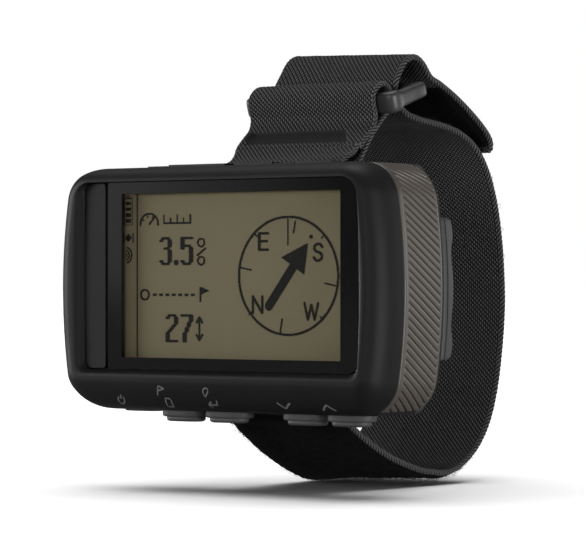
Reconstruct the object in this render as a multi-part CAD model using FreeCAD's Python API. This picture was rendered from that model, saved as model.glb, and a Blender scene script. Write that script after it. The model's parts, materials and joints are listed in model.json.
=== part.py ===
import FreeCAD, Part
import math, os
from FreeCAD import Vector as V

os.makedirs("parts", exist_ok=True)

# ---------------------------------------------------------------- dimensions
# All in millimetres. x runs along the unit's length, y from the glass back
# towards the wrist, z up. The origin is the middle of the wrist opening.
UNIT_W = 72.1          # length of the unit over its bulged ends
UNIT_H = 43.5          # height of the unit
END_BULGE_R = 104.1    # radius of the bulge of each end
CORNER_R = 7.0         # corner radius of the front outline
Z_ORIGIN = 0.0         # height of the origin about the unit's centre
Y_ORIGIN = 45.0        # depth of the origin behind the glass
BEZEL_BACK = 6.5       # joint between bezel and rear case
BAND_BACK = 18.4       # rear edge of the ribbed end bands
BACK = 22.6            # rear face of the case
WALL = 2.0
RIM_Y = -0.6           # front of the bezel's rim, glass face at y = 0
POCKET = (-29.8, 31.1, -14.45, 19.05)      # x0, x1, z0, z1 of the front pocket
LENS = (-24.15, 31.0, -14.35, 18.95)
PLATE = (-29.7, -24.95, -14.2, 18.8)
LCD_VIEW = (-20.95, 27.35, -12.2, 16.9)
LCD = (-22.8, 28.8, -13.7, 18.0)
BATT_R = 5.2
BATT_Y = 12.55
BATT_Z = 5.65
BATT_X = (-16.4, 27.4)
DOOR_X = 28.1
DOOR_PIVOT = (29.4, -20.3)                 # x, z of the door's hinge line
LATCH_PIVOT = (31.2, 21.0)                 # x, y of the latch's pin
STRAP_W = 28.0
LUG = (20.3, 19.6)                         # y, z of the upper strap bar about the unit's centre
LUG_R = 1.1
RING_F = (31.3, 33.4)                      # y, z of the ring's front bar about the unit's centre
RING_B = (40.0, 36.1)                      # y, z of the ring's rear bar
RING_BAR_R = 1.4
TAIL_PIVOT = (45.2, 40.6)                  # y, z of the tail's fold line about the unit's centre
KEYS = {                                   # x0, x1, protrusion, collar
    "key_power": (-27.2, -19.3, 0.35, False),
    "key_page": (-17.4, -9.6, 2.0, True),
    "key_enter": (-7.55, 0.2, 2.0, True),
    "key_down": (9.85, 17.6, 2.0, True),
    "key_up": (19.4, 26.9, 2.0, True),
}
KEY_Y = (7.2, 11.4)


# ---------------------------------------------------------------- helpers
def put(shape, name):
    s = shape.copy()
    s.translate(V(0, -Y_ORIGIN, -Z_ORIGIN))
    s.exportStep("parts/%s.step" % name)


def box(x0, x1, y0, y1, z0, z1):
    return Part.makeBox(x1 - x0, y1 - y0, z1 - z0, V(x0, y0, z0))


def outline(y, i_side=0.0, i_top=0.0, i_bot=0.0):
    """Closed front outline in the plane y, inset from the full size."""
    zt = UNIT_H / 2 - i_top
    zb = UNIT_H / 2 - i_bot
    sx = UNIT_W / 2 - i_side
    cx = sx - END_BULGE_R

    def corner(zl, ins):
        r = max(1.5, CORNER_R - ins)
        z = zl - r
        x = cx + math.sqrt((END_BULGE_R - r) ** 2 - z * z)
        k = END_BULGE_R / (END_BULGE_R - r)
        tx, tz = cx + (x - cx) * k, z * k
        a1 = math.atan2(tz - z, tx - x)
        am = (a1 + math.pi / 2) / 2
        return (x, zl), (x + r * math.cos(am), z + r * math.sin(am)), (tx, tz)
    t = corner(zt, max(i_side, i_top) if i_top < 3 else i_top)
    b = corner(zb, max(i_side, i_bot) if i_bot < 3 else i_bot)

    def p(x, z):
        return V(x, y, z)
    e = [Part.LineSegment(p(-t[0][0], zt), p(t[0][0], zt)),
         Part.Arc(p(*t[0]), p(*t[1]), p(*t[2])),
         Part.Arc(p(*t[2]), p(sx, 0), p(b[2][0], -b[2][1])),
         Part.Arc(p(b[2][0], -b[2][1]), p(b[1][0], -b[1][1]), p(b[0][0], -zb)),
         Part.LineSegment(p(b[0][0], -zb), p(-b[0][0], -zb)),
         Part.Arc(p(-b[0][0], -zb), p(-b[1][0], -b[1][1]), p(-b[2][0], -b[2][1])),
         Part.Arc(p(-b[2][0], -b[2][1]), p(-sx, 0), p(-t[2][0], t[2][1])),
         Part.Arc(p(-t[2][0], t[2][1]), p(-t[1][0], t[1][1]), p(-t[0][0], zt))]
    return Part.Wire([s.toShape() for s in e])


def slab(y0, y1, inset=0.0):
    w = outline(y0, inset, inset, inset)
    return Part.Face(w).extrude(V(0, y1 - y0, 0))


def ring_slab(y0, y1, i0, i1):
    return slab(y0, y1, i0).cut(slab(y0 - 1, y1 + 1, i1))


def rbox(x0, x1, y0, y1, z0, z1, r, rl=None):
    """Plate in x and z with rounded corners (rl on the left side)."""
    rl = r if rl is None else rl
    p = []

    def arc(cx, cz, rr, a0):
        am, a1 = a0 + 45, a0 + 90
        pt = lambda a: V(cx + rr * math.cos(math.radians(a)), y0,
                         cz + rr * math.sin(math.radians(a)))
        return Part.Arc(pt(a0), pt(am), pt(a1)).toShape()
    e = [arc(x1 - r, z1 - r, r, 0),
         Part.LineSegment(V(x1 - r, y0, z1), V(x0 + rl, y0, z1)).toShape(),
         arc(x0 + rl, z1 - rl, rl, 90),
         Part.LineSegment(V(x0, y0, z1 - rl), V(x0, y0, z0 + rl)).toShape(),
         arc(x0 + rl, z0 + rl, rl, 180),
         Part.LineSegment(V(x0 + rl, y0, z0), V(x1 - r, y0, z0)).toShape(),
         arc(x1 - r, z0 + r, r, 270),
         Part.LineSegment(V(x1, y0, z0 + r), V(x1, y0, z1 - r)).toShape()]
    return Part.Face(Part.Wire(e)).extrude(V(0, y1 - y0, 0))


def cyl(p, d, r, h):
    return Part.makeCylinder(r, h, V(*p), V(*d))


def stadium(x0, x1, y0, y1, z0, z1):
    """Oval column along z."""
    r = (y1 - y0) / 2
    ym = (y0 + y1) / 2
    s = box(x0 + r, x1 - r, y0, y1, z0, z1)
    s = s.fuse(cyl((x0 + r, ym, z0), (0, 0, 1), r, z1 - z0))
    s = s.fuse(cyl((x1 - r, ym, z0), (0, 0, 1), r, z1 - z0))
    return s.removeSplitter()


def dense(pts, n=10):
    """Centripetal curve through the points."""
    P = [pts[0]] + list(pts) + [pts[-1]]
    P[0] = (2 * pts[0][0] - pts[1][0], 2 * pts[0][1] - pts[1][1])
    P[-1] = (2 * pts[-1][0] - pts[-2][0], 2 * pts[-1][1] - pts[-2][1])
    out = []
    for i in range(1, len(P) - 2):
        p0, p1, p2, p3 = P[i - 1:i + 3]
        t = [0.0]
        for a, b in ((p0, p1), (p1, p2), (p2, p3)):
            t.append(t[-1] + max(1e-6, math.hypot(b[0] - a[0], b[1] - a[1])) ** 0.5)
        for k in range(n):
            u = t[1] + (t[2] - t[1]) * k / n

            def L(a, b, ta, tb):
                f = (u - ta) / (tb - ta)
                return (a[0] + (b[0] - a[0]) * f, a[1] + (b[1] - a[1]) * f)
            a1, a2, a3 = L(p0, p1, t[0], t[1]), L(p1, p2, t[1], t[2]), L(p2, p3, t[2], t[3])
            b1, b2 = L(a1, a2, t[0], t[2]), L(a2, a3, t[1], t[3])
            out.append(L(b1, b2, t[1], t[2]))
    out.append(pts[-1])
    return out


def band(pts, t_left, t_right, w=STRAP_W, n=5):
    """Strap of width w whose centre line follows pts in the y, z plane.
    t_left and t_right are the thicknesses to the left and right of the way
    that the points run."""
    c = dense(pts, n)
    left, right = [], []
    for i, (y, z) in enumerate(c):
        a = c[max(0, i - 1)]
        b = c[min(len(c) - 1, i + 1)]
        dy, dz = b[0] - a[0], b[1] - a[1]
        m = math.hypot(dy, dz)
        ny, nz = -dz / m, dy / m
        left.append(V(-w / 2, y + ny * t_left, z + nz * t_left))
        right.append(V(-w / 2, y - ny * t_right, z - nz * t_right))

    def spline(q):
        s = Part.BSplineCurve()
        s.interpolate(q)
        return s.toShape()
    e = [spline(left), Part.LineSegment(left[-1], right[-1]).toShape(),
         spline(right[::-1]), Part.LineSegment(right[0], left[0]).toShape()]
    return Part.Face(Part.Wire(e)).extrude(V(w, 0, 0))


def smooth_closed(pts, x0, x1):
    s = Part.BSplineCurve()
    s.interpolate(Points=[V(x0, y, z) for y, z in pts], PeriodicFlag=True)
    return Part.Face(Part.Wire([s.toShape()])).extrude(V(x1 - x0, 0, 0))


# ---------------------------------------------------------------- front bezel
sections = [(RIM_Y, 3.5, 2.7, 6.0), (-0.35, 2.6, 1.9, 4.9), (0.6, 1.45, 1.0, 3.1),
            (2.2, 0.55, 0.4, 1.3), (4.2, 0.12, 0.08, 0.35), (BEZEL_BACK, 0.0, 0.0, 0.0)]
bezel = Part.makeLoft([outline(*s) for s in sections], True, False)
bezel = bezel.cut(rbox(POCKET[0], POCKET[1], -2, 1.75, POCKET[2], POCKET[3], 2.3, 1.8))
bezel = bezel.cut(rbox(LCD[0] - 0.2, LCD[1] + 0.2, 1, 3.5, LCD[2] - 0.2, LCD[3] + 0.2, 0.5))
cav = slab(2.9, 7.0, WALL + 0.3).common(box(-40, 30.0, 2, 5.0, -30, 30))
cav = cav.fuse(slab(2.9, 7.0, WALL).common(box(-40, 26.2, 4.4, 7.0, -30, 30)))
bezel = bezel.cut(cav)

gasket = ring_slab(6.2, 6.8, 0.9, 1.5).common(box(-40, 27.4, 5, 8, -30, 30))
screw_xz = [(-27.9, 15.8), (-27.9, -15.8), (19.6, 17.3), (18.9, -17.3)]
for x, z in screw_xz:
    yb = 2.9 if x < 0 else 4.65
    bezel = bezel.fuse(cyl((x, yb, z), (0, 1, 0), 2.3, BEZEL_BACK - yb).common(
        slab(2.5, 7.0, 1.0)))
    if x > 0:
        z0, z1 = sorted((z, z * 20.3 / 17.3))
        bezel = bezel.fuse(box(x - 1.5, x + 1.5, yb, BEZEL_BACK, z0, z1))
    bezel = bezel.cut(cyl((x, yb + 0.3, z), (0, 1, 0), 1.03, 4))
bezel = bezel.cut(ring_slab(6.2, 6.8, 0.9, 1.5).common(box(-40, 27.4, 5, 8, -30, 30)))
bezel = bezel.cut(cyl((DOOR_PIVOT[0], 5.2, DOOR_PIVOT[1]), (0, 1, 0), 0.62, 3))
put(bezel, "front_bezel")
put(gasket, "case_gasket")

# ---------------------------------------------------------------- front stack
put(rbox(LENS[0], LENS[1], 0, 1.0, LENS[2], LENS[3], 2.2, 0.5), "display_lens")
mask = rbox(LENS[0], LENS[1], 1.0, 1.2, LENS[2], LENS[3], 2.2, 0.5)
mask = mask.cut(box(LCD_VIEW[0], LCD_VIEW[1], 0, 2, LCD_VIEW[2], LCD_VIEW[3]))
put(mask, "lens_mask")
seal = rbox(LENS[0], LENS[1], 1.2, 1.7, LENS[2], LENS[3], 2.2, 0.5)
seal = seal.cut(box(LCD_VIEW[0] - 0.9, LCD_VIEW[1] + 0.9, 0, 2, LCD_VIEW[2] - 0.9, LCD_VIEW[3] + 0.9))
put(seal, "lens_gasket")
put(rbox(PLATE[0], PLATE[1], 0.4, 1.7, PLATE[2], PLATE[3], 0.6, 1.75), "name_plate")
put(box(LCD[0], LCD[1], 1.8, 3.0, LCD[2], LCD[3]), "lcd_panel")
put(box(LCD[0] + 0.4, LCD[1] - 0.4, 3.0, 3.9, LCD[2] + 0.4, LCD[3] - 0.4), "lcd_backlight")
put(box(-24.6, 29.2, 3.9, 4.5, -13.2, 16.6).cut(box(-12, 18, 3, 5, -8, 11)), "lcd_frame")

# ---------------------------------------------------------------- electronics
board = box(-30.0, 25.6, 5.2, 6.1, -18.6, 18.6)
for x, z in screw_xz:
    board = board.cut(cyl((x, 5, z), (0, 1, 0), 2.4, 3))
    board = board.cut(box(x - 2.4 if x > 0 else -31, x + 2.4, 5, 7,
                          z if z > 0 else -20, z if z < 0 else 20))
put(board, "main_board")
put(box(-30.2, -18.6, 6.1, 10.4, 1.2, 12.8), "gps_antenna")
put(cyl((-24.6, 6.1, -6.6), (0, 1, 0), 4.9, 2.1), "beeper")
shield = box(-14, 14, 6.1, 7.2, 12.4, 18.2).cut(box(-13.7, 13.7, 6.0, 6.9, 12.7, 17.9))
put(shield, "rf_shield")
sw = []
for k, (x0, x1, pr, col) in KEYS.items():
    xm = (x0 + x1) / 2
    sw.append(box(xm - 1.7, xm + 1.7, 6.1, 8.9, -17.3, -15.6).fuse(
        box(xm - 0.8, xm + 0.8, 7.0, 8.4, -17.7, -17.3)))
put(Part.makeCompound(sw), "tact_switches")
mat = box(-25.2, 25.8, 6.9, 11.2, -18.35, -17.85)
mat = mat.cut(box(16.5, 21.3, 6, 12, -19, -17))
put(mat, "keypad_mat")

# ---------------------------------------------------------------- batteries
def battery(z, flip):
    x0, x1 = BATT_X
    s = cyl((x0, BATT_Y, z), (1, 0, 0), BATT_R, x1 - x0)
    s = s.makeFillet(0.5, [e for e in s.Edges if e.Curve.TypeId == "Part::GeomCircle"])
    nub = cyl((x1, BATT_Y, z), (1, 0, 0), 1.9, 0.7) if not flip else \
        cyl((x0 - 0.7, BATT_Y, z), (1, 0, 0), 1.9, 0.7)
    return s.fuse(nub).removeSplitter()


put(battery(BATT_Z, False), "battery_1")
put(battery(-BATT_Z, True), "battery_2")
con = box(-18.4, -18.0, 8.2, 16.9, -9.6, 9.6)
for z, x1 in ((BATT_Z, BATT_X[0]), (-BATT_Z, BATT_X[0] - 0.7)):
    c = Part.makeCone(3.1, 1.9, x1 - 0.02 + 18.0, V(-18.0, BATT_Y, z), V(1, 0, 0))
    c = c.cut(Part.makeCone(2.5, 1.3, x1 - 0.02 + 18.0, V(-18.0, BATT_Y, z), V(1, 0, 0)))
    con = con.fuse(c)
put(con, "battery_springs")

# ---------------------------------------------------------------- rear case
case = slab(BEZEL_BACK, 20.4, 0.0)
case = case.fuse(Part.makeLoft([outline(20.4, 0.0, 0.0, 0.0), outline(21.6, 0.35, 0.35, 0.35),
                                outline(BACK, 1.3, 1.3, 1.3)], True, False))
# right end: the door's bay, a thin rear flange and the latch's bay
case = case.cut(box(28.0, 40, BEZEL_BACK - 0.1, BAND_BACK, -30, 30))
case = case.cut(box(29.3, 40, 19.2, 30, -30, 30))
flange_trim = box(28.0, 40, BAND_BACK - 0.1, 19.3, -30, 30).cut(slab(10, 25, 0.45))
case = case.cut(flange_trim)
# left end: seat of the ribbed grip
grip_l = ring_slab(7.0, 18.2, 0.0, 0.8).common(box(-40, -27.6, 6, 19, -30, 30))
case = case.cut(ring_slab(6.98, 18.22, -0.5, 0.8).common(box(-40, -27.58, 6, 19, -30, 30)))
# hollow
case = case.cut(slab(BEZEL_BACK - 0.2, 17.95, WALL).common(box(-40, 26.2, 6, 18, -30, 30)))
case = case.cut(box(-17.8, 26.2, 17.5, 20.9, -13.6, 13.6))
mouth = cyl((26, BATT_Y, BATT_Z), (1, 0, 0), BATT_R + 0.12, 4)
mouth = mouth.fuse(cyl((26, BATT_Y, -BATT_Z), (1, 0, 0), BATT_R + 0.12, 4))
mouth = mouth.fuse(box(26, 30, BATT_Y - BATT_R - 0.12, BATT_Y + BATT_R + 0.12, -BATT_Z, BATT_Z))
case = case.cut(mouth)
# strap bar recesses, top and bottom
STRAP_HALF = 14.7
for s in (1, -1):
    z0, z1 = sorted((s * 15.9, s * 24))
    case = case.cut(box(-STRAP_HALF, STRAP_HALF, 16.6, 30, z0, z1))
    z0, z1 = sorted((s * 14.2, s * 15.9))
    case = case.fuse(box(-STRAP_HALF - 1.5, STRAP_HALF + 1.5, 15.2, 20.9, z0, z1))
    z0, z1 = sorted((s * 14.2, s * 21.0))
    case = case.fuse(box(-STRAP_HALF - 1.5, STRAP_HALF + 1.5, 15.2, 16.6, z0, z1))
    for sx in (1, -1):
        x0, x1 = sorted((sx * STRAP_HALF, sx * (STRAP_HALF + 1.5)))
        case = case.fuse(box(x0, x1, 15.2, 20.9, z0, z1))
        x0, x1 = sorted((sx * STRAP_HALF, sx * 17.9))
        z2, z3 = sorted((s * 18.0, s * 22.4))
        ear = box(x0, x1, 17.6, 22.3, z2, z3)
        case = case.fuse(ear)
# low ridges along the top, in front of the strap's recess
for x0, x1, h in ((-26.0, -21.6, 0.55), (-21.1, -8.2, 0.75), (-5.7, 2.5, 0.75),
                  (2.9, 7.3, 0.55), (7.7, 15.6, 0.75)):
    case = case.fuse(box(x0, x1, 13.6, 16.4, UNIT_H / 2 - 0.5, UNIT_H / 2 + h))
# key slots with their collars
collars = []
for k, (x0, x1, pr, col) in KEYS.items():
    case = case.cut(stadium(x0 - 0.15, x1 + 0.15, KEY_Y[0] - 0.15, KEY_Y[1] + 0.15, -24, -18.9))
    if col:
        c = stadium(x0 - 0.85, x1 + 0.85, KEY_Y[0] - 0.6, KEY_Y[1] + 0.85,
                    -UNIT_H / 2 - 1.15, -UNIT_H / 2)
        c = c.cut(stadium(x0 - 0.15, x1 + 0.15, KEY_Y[0] - 0.15, KEY_Y[1] + 0.15, -24, -18.9))
        collars.append(c)
# screw bosses
for x, z in screw_xz:
    case = case.fuse(cyl((x, BEZEL_BACK, z), (0, 1, 0), 2.3, 12.5).common(slab(6, 20, 1.0)))
case = case.cut(box(-40, 26.2, 5, BEZEL_BACK, -30, 30))
for x, z in screw_xz:
    case = case.cut(cyl((x, 5, z), (0, 1, 0), 1.03, 20))
    case = case.cut(cyl((x, 20.2, z), (0, 1, 0), 1.95, 10))
# strap bars' seats
for s in (1, -1):
    case = case.cut(cyl((-16.9, LUG[0], s * LUG[1]), (1, 0, 0), LUG_R + 0.02, 33.8))
# weather cap's recess and the socket's hole
CAP_X = (-28.3, -17.9)
case = case.cut(box(CAP_X[0] - 0.45, CAP_X[1] + 0.2, 19.4, 30, -4.2, 4.2))
case = case.cut(box(-26.9, -19.1, 17, 19.5, -2.0, 2.0))
case = case.cut(cyl((CAP_X[0] + 0.5, BACK - 0.7, -5.45), (0, 0, 1), 0.32, 10.9))
# case gasket seat, hinge pin seat and relief, latch pin ears
case = case.cut(ring_slab(6.2, 6.8, 0.9, 1.5).common(box(-40, 27.4, 5, 8, -30, 30)))
case = case.cut(cyl((DOOR_PIVOT[0], 18, DOOR_PIVOT[1]), (0, 1, 0), 0.62, 1.21))
case = case.cut(cyl((DOOR_PIVOT[0], BEZEL_BACK, DOOR_PIVOT[1]), (0, 1, 0), 1.65, BAND_BACK - BEZEL_BACK))
for s in (1, -1):
    z0, z1 = sorted((s * 13.1, s * 15.6))
    ear = box(29.2, LATCH_PIVOT[0], 19.1, LATCH_PIVOT[1] + 1.5, z0, z1)
    ear = ear.fuse(cyl((LATCH_PIVOT[0], LATCH_PIVOT[1], z0), (0, 0, 1), 1.5, z1 - z0))
    case = case.fuse(ear)
case = case.cut(cyl((LATCH_PIVOT[0], LATCH_PIVOT[1], -14.8), (0, 0, 1), 0.72, 29.6))
for x0, x1, pr, col in KEYS.values():
    case = case.cut(box(x0 - 0.6, x1 + 0.6, 6.6, 12.2, -19.76, -18.3))
case = case.removeSplitter()
print("rear_case solids", len(case.Solids), "valid", case.isValid())
put(case, "rear_case")
put(grip_l, "left_grip")
put(Part.makeCompound(collars), "key_collars")

screws = []
for x, z in screw_xz:
    yb = 3.4 if x < 0 else 5.1
    s = cyl((x, yb, z), (0, 1, 0), 0.98, 20.4 - yb).fuse(cyl((x, 20.25, z), (0, 1, 0), 1.85, 1.3))
    s = s.cut(box(x - 0.35, x + 0.35, 21.0, 23, z - 1.2, z + 1.2)).cut(
        box(x - 1.2, x + 1.2, 21.0, 23, z - 0.35, z + 0.35))
    screws.append(s)
put(Part.makeCompound(screws), "case_screws")
for nm, s in (("upper_lug_bar", 1), ("lower_lug_bar", -1)):
    put(cyl((-16.8, LUG[0], s * LUG[1]), (1, 0, 0), LUG_R, 33.6), nm)

# ---------------------------------------------------------------- usb port
sock = box(-26.8, -19.2, 12.4, 19.4, -1.9, 1.9).cut(box(-26.2, -19.8, 13.4, 20, -1.3, 1.3))
sock = sock.fuse(box(-25.0, -21.0, 13.3, 18.4, -0.35, 0.35))
put(sock, "usb_socket")
cap = rbox(CAP_X[0], CAP_X[1], 20.9, BACK - 0.1, -3.9, 3.9, 1.0)
cap = cap.fuse(box(-26.0, -20.0, 19.7, 21.0, -1.6, 1.6))
cap = cap.fuse(cyl((CAP_X[0] + 0.5, BACK - 0.7, -3.4), (0, 0, 1), 0.6, 6.8))
cap = cap.cut(cyl((CAP_X[0] + 0.5, BACK - 0.7, -5), (0, 0, 1), 0.35, 10))
put(cap, "usb_cap")
put(cyl((CAP_X[0] + 0.5, BACK - 0.7, -5.4), (0, 0, 1), 0.3, 10.8), "usb_cap_pin")

# ---------------------------------------------------------------- keys
for k, (x0, x1, pr, col) in KEYS.items():
    zb = -UNIT_H / 2 - pr
    s = stadium(x0, x1, KEY_Y[0], KEY_Y[1], zb, -19.0)
    ed = [e for e in s.Edges if abs(e.BoundBox.ZMax - zb) < 1e-6 and abs(e.BoundBox.ZMin - zb) < 1e-6]
    s = s.makeFillet(min(0.5, 0.3 + pr * 0.1), ed)
    s = s.fuse(stadium(x0 - 0.4, x1 + 0.4, KEY_Y[0] - 0.4, KEY_Y[1] + 0.4, -19.5, -19.0))
    put(s.removeSplitter(), k)

# ---------------------------------------------------------------- battery door
px, pz = DOOR_PIVOT
sel = box(DOOR_X, 40, 6, 19, -30, 30)
grip = ring_slab(6.85, 18.2, 0.0, 0.8).common(sel)
shell = ring_slab(6.85, 18.2, 0.8, 2.0).common(sel)
plate = slab(6.85, 18.2, 1.5).common(box(28.95, 29.85, 6, 19, -30, 30))
shell = shell.fuse(plate)
for z in (-9.6, 0.0, 9.6):
    shell = shell.fuse(slab(8.2, 17.0, 1.5).common(box(29.6, 36, 8.2, 17.0, z - 0.5, z + 0.5)))
trim = box(20, px, 6, 20, -30, pz)
trim = trim.fuse(cyl((px, 5, pz), (0, 1, 0), 1.05, 15).cut(box(px, 40, 4, 21, pz, 30)))
shell = shell.cut(box(20, px, 6, 20, -30, pz))
grip = grip.cut(box(20, px, 6, 20, -30, pz))
knuckle = cyl((px, 6.85, pz), (0, 1, 0), 1.4, 11.35)
grip = grip.cut(cyl((px, 5, pz), (0, 1, 0), 1.42, 15))
shell = shell.fuse(knuckle).cut(cyl((px, 5, pz), (0, 1, 0), 0.65, 15))
put(shell.removeSplitter(), "door_shell")
put(grip, "door_grip")
put(cyl((px, 5.3, pz), (0, 1, 0), 0.6, 13.7), "door_hinge_pin")
gk = rbox(28.1, 28.95, 6.95, 18.1, -12.0, 12.0, 0.3)
gk = gk.cut(box(27, 30, 7.4, 17.65, -11.5, 11.5))
put(gk, "door_gasket")
dc = box(28.45, 28.95, 9.0, 16.2, -8.4, 8.4)
put(dc, "door_contact")

# ---------------------------------------------------------------- door latch
lx, ly = LATCH_PIVOT
wave = [(19.45, -12.4), (22.1, -12.4), (22.5, -12.0), (22.75, -10.6), (22.7, -9.0), (22.15, -7.2),
        (22.05, -5.4), (22.3, -2.4), (22.35, 0.0), (22.3, 2.4), (22.0, 5.0), (22.1, 7.0),
        (22.7, 9.0), (22.75, 10.4), (22.4, 12.0), (22.0, 12.5), (19.45, 12.5)]
curve = Part.BSplineCurve()
curve.interpolate([V(0, a, b) for a, b in wave[1:-1]])
w = Part.Wire([Part.LineSegment(V(0, *wave[0]), V(0, *wave[1])).toShape(), curve.toShape(),
               Part.LineSegment(V(0, *wave[-2]), V(0, *wave[-1])).toShape(),
               Part.LineSegment(V(0, *wave[-1]), V(0, *wave[0])).toShape()])
lever = Part.Face(w).extrude(V(4.6, 0, 0))
lever.translate(V(lx + 0.1, 0, 0))
lever = lever.common(slab(18, 24, 0.5))
lever = lever.fuse(cyl((lx, ly, -12.5), (0, 0, 1), 1.45, 25.0))
lever = lever.cut(cyl((lx, ly, -14), (0, 0, 1), 0.75, 28))
put(lever.removeSplitter(), "battery_latch")
put(cyl((lx, ly, -14.7), (0, 0, 1), 0.7, 29.4), "latch_pin")

# ---------------------------------------------------------------- short strap
SW = STRAP_W / 2
body_pts = [(20.2, 22.35), (22.2, 22.75), (24.0, 23.35), (24.35, 24.6), (25.2, 26.1), (26.9, 27.7),
            (28.4, 29.2), (28.7, 31.0), (28.1, 33.0), (28.0, 34.6), (28.9, 36.1), (30.6, 37.2),
            (32.6, 37.3), (34.2, 36.2), (34.7, 34.4), (34.6, 32.4), (33.6, 30.6), (31.4, 28.3),
            (28.6, 25.8), (25.4, 22.8), (23.4, 20.4), (22.9, 18.4), (21.6, 17.1), (19.7, 16.95),
            (18.1, 18.1), (17.6, 19.9), (18.4, 21.6)]
strap_s = smooth_closed(body_pts, -SW, SW)
strap_s = strap_s.cut(cyl((-20, LUG[0], LUG[1]), (1, 0, 0), LUG_R + 0.3, 40))
strap_s = strap_s.cut(cyl((-20, RING_F[0], RING_F[1]), (1, 0, 0), RING_BAR_R + 0.3, 40))
# slit between the two layers
strap_s = strap_s.cut(band([(30.9, 32.0), (29.7, 30.1)], 0.25, 0.25, 40).translated(V(0, 0, 0)))
put(strap_s, "short_strap")

# ---------------------------------------------------------------- strap ring
ring = cyl((-17.3, RING_F[0], RING_F[1]), (1, 0, 0), RING_BAR_R, 34.6)
ring = ring.fuse(cyl((-17.3, RING_B[0], RING_B[1]), (1, 0, 0), RING_BAR_R, 34.6))
ang = math.degrees(math.atan2(RING_B[1] - RING_F[1], RING_B[0] - RING_F[0]))
Lr = math.hypot(RING_B[1] - RING_F[1], RING_B[0] - RING_F[0])
for x in (-17.3, 14.7):
    arm = Part.makeBox(2.6, Lr, 2 * RING_BAR_R, V(x, 0, -RING_BAR_R))
    arm.rotate(V(0, 0, 0), V(1, 0, 0), ang)
    arm.translate(V(0, RING_F[0], RING_F[1]))
    ring = ring.fuse(arm)
put(ring.removeSplitter(), "strap_ring")

# ---------------------------------------------------------------- wrist strap
T = 1.0     # half of the strap's thickness
path = [(20.9, -23.05), (23.6, -24.75), (27.0, -26.9), (31.0, -29.3), (36.0, -31.8), (41.5, -33.9),
        (46.5, -35.15), (51.5, -35.2), (56.0, -33.9), (60.0, -31.5), (63.4, -28.5),
        (66.2, -24.6), (68.3, -19.4), (69.7, -12.6), (70.5, -5.0), (70.4, 2.6), (69.6, 10.0),
        (68.2, 16.5), (65.9, 22.2), (62.9, 26.2), (58.8, 29.2), (53.6, 31.0), (47.6, 31.9),
        (42.6, 32.3), (39.4, 32.8), (37.2, 34.0), (36.5, 35.8), (36.6, 37.8),
        (37.4, 40.1), (39.3, 41.9), (41.8, 42.35), (44.1, 41.5)]
loop = band(path, T, T)
eye = cyl((-SW, LUG[0], -LUG[1]), (1, 0, 0), 2.7, STRAP_W).fuse(
    cyl((-SW, LUG[0] + 0.4, -LUG[1] - 1.4), (1, 0, 0), 2.7, STRAP_W))
loop = loop.fuse(eye).cut(cyl((-20, LUG[0], -LUG[1]), (1, 0, 0), LUG_R + 0.3, 40))
loop = loop.removeSplitter()
put(loop, "wrist_strap")

ty, tz = TAIL_PIVOT
tail_pts = [(ty, tz), (47.4, 38.5), (50.2, 37.35), (54.8, 35.4), (60.3, 32.5), (64.1, 30.1),
            (67.0, 27.7)]
tail = band(tail_pts, 1.0, 0.2)
tail = tail.cut(box(-20, 20, ty - 3, ty + 0.35, tz - 3, tz + 3)).fuse(
    cyl((-SW, ty, tz), (1, 0, 0), 1.0, STRAP_W))
corner = []
put(tail.removeSplitter(), "strap_tail")
hook = band(tail_pts[2:], -0.2, 1.0, STRAP_W - 1.0)
put(hook, "hook_patch")

# ---------------------------------------------------------------- report
print("shapes valid:", all(s.isValid() for s in (bezel, case, shell, grip, lever, strap_s, ring, loop, tail, hook)))
print("strap outer y", loop.BoundBox.YMax, "z", loop.BoundBox.ZMin, "front", bezel.BoundBox.YMin)
print("top", max(loop.BoundBox.ZMax, strap_s.BoundBox.ZMax), "x", bezel.BoundBox.XMin, bezel.BoundBox.XMax, shell.BoundBox.XMax, grip.BoundBox.XMax, lever.BoundBox.XMax)
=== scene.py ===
import bpy
import json
import math
import random
import numpy as np
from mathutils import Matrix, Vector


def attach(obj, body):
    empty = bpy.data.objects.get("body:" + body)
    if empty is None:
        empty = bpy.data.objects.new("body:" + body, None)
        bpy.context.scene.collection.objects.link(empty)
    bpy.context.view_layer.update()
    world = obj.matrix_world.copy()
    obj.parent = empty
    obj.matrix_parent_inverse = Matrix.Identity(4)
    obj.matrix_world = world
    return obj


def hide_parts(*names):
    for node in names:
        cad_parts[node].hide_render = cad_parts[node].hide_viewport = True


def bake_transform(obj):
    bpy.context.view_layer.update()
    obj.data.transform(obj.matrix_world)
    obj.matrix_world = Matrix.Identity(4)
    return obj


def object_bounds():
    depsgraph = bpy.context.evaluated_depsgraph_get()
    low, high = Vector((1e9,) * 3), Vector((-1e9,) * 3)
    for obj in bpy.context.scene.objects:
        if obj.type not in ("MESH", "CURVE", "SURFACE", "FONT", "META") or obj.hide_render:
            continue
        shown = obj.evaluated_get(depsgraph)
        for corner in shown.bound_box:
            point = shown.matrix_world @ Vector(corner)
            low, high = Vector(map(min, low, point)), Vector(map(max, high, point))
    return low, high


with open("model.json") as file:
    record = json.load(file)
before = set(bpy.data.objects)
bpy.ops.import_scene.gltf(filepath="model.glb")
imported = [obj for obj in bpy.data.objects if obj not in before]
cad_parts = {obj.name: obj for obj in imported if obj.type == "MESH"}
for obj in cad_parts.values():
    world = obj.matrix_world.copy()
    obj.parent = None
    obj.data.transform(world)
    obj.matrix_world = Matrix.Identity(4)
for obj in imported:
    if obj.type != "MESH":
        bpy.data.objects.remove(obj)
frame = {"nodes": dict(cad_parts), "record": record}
CAD_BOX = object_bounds()
NODES = frame["nodes"]

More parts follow.
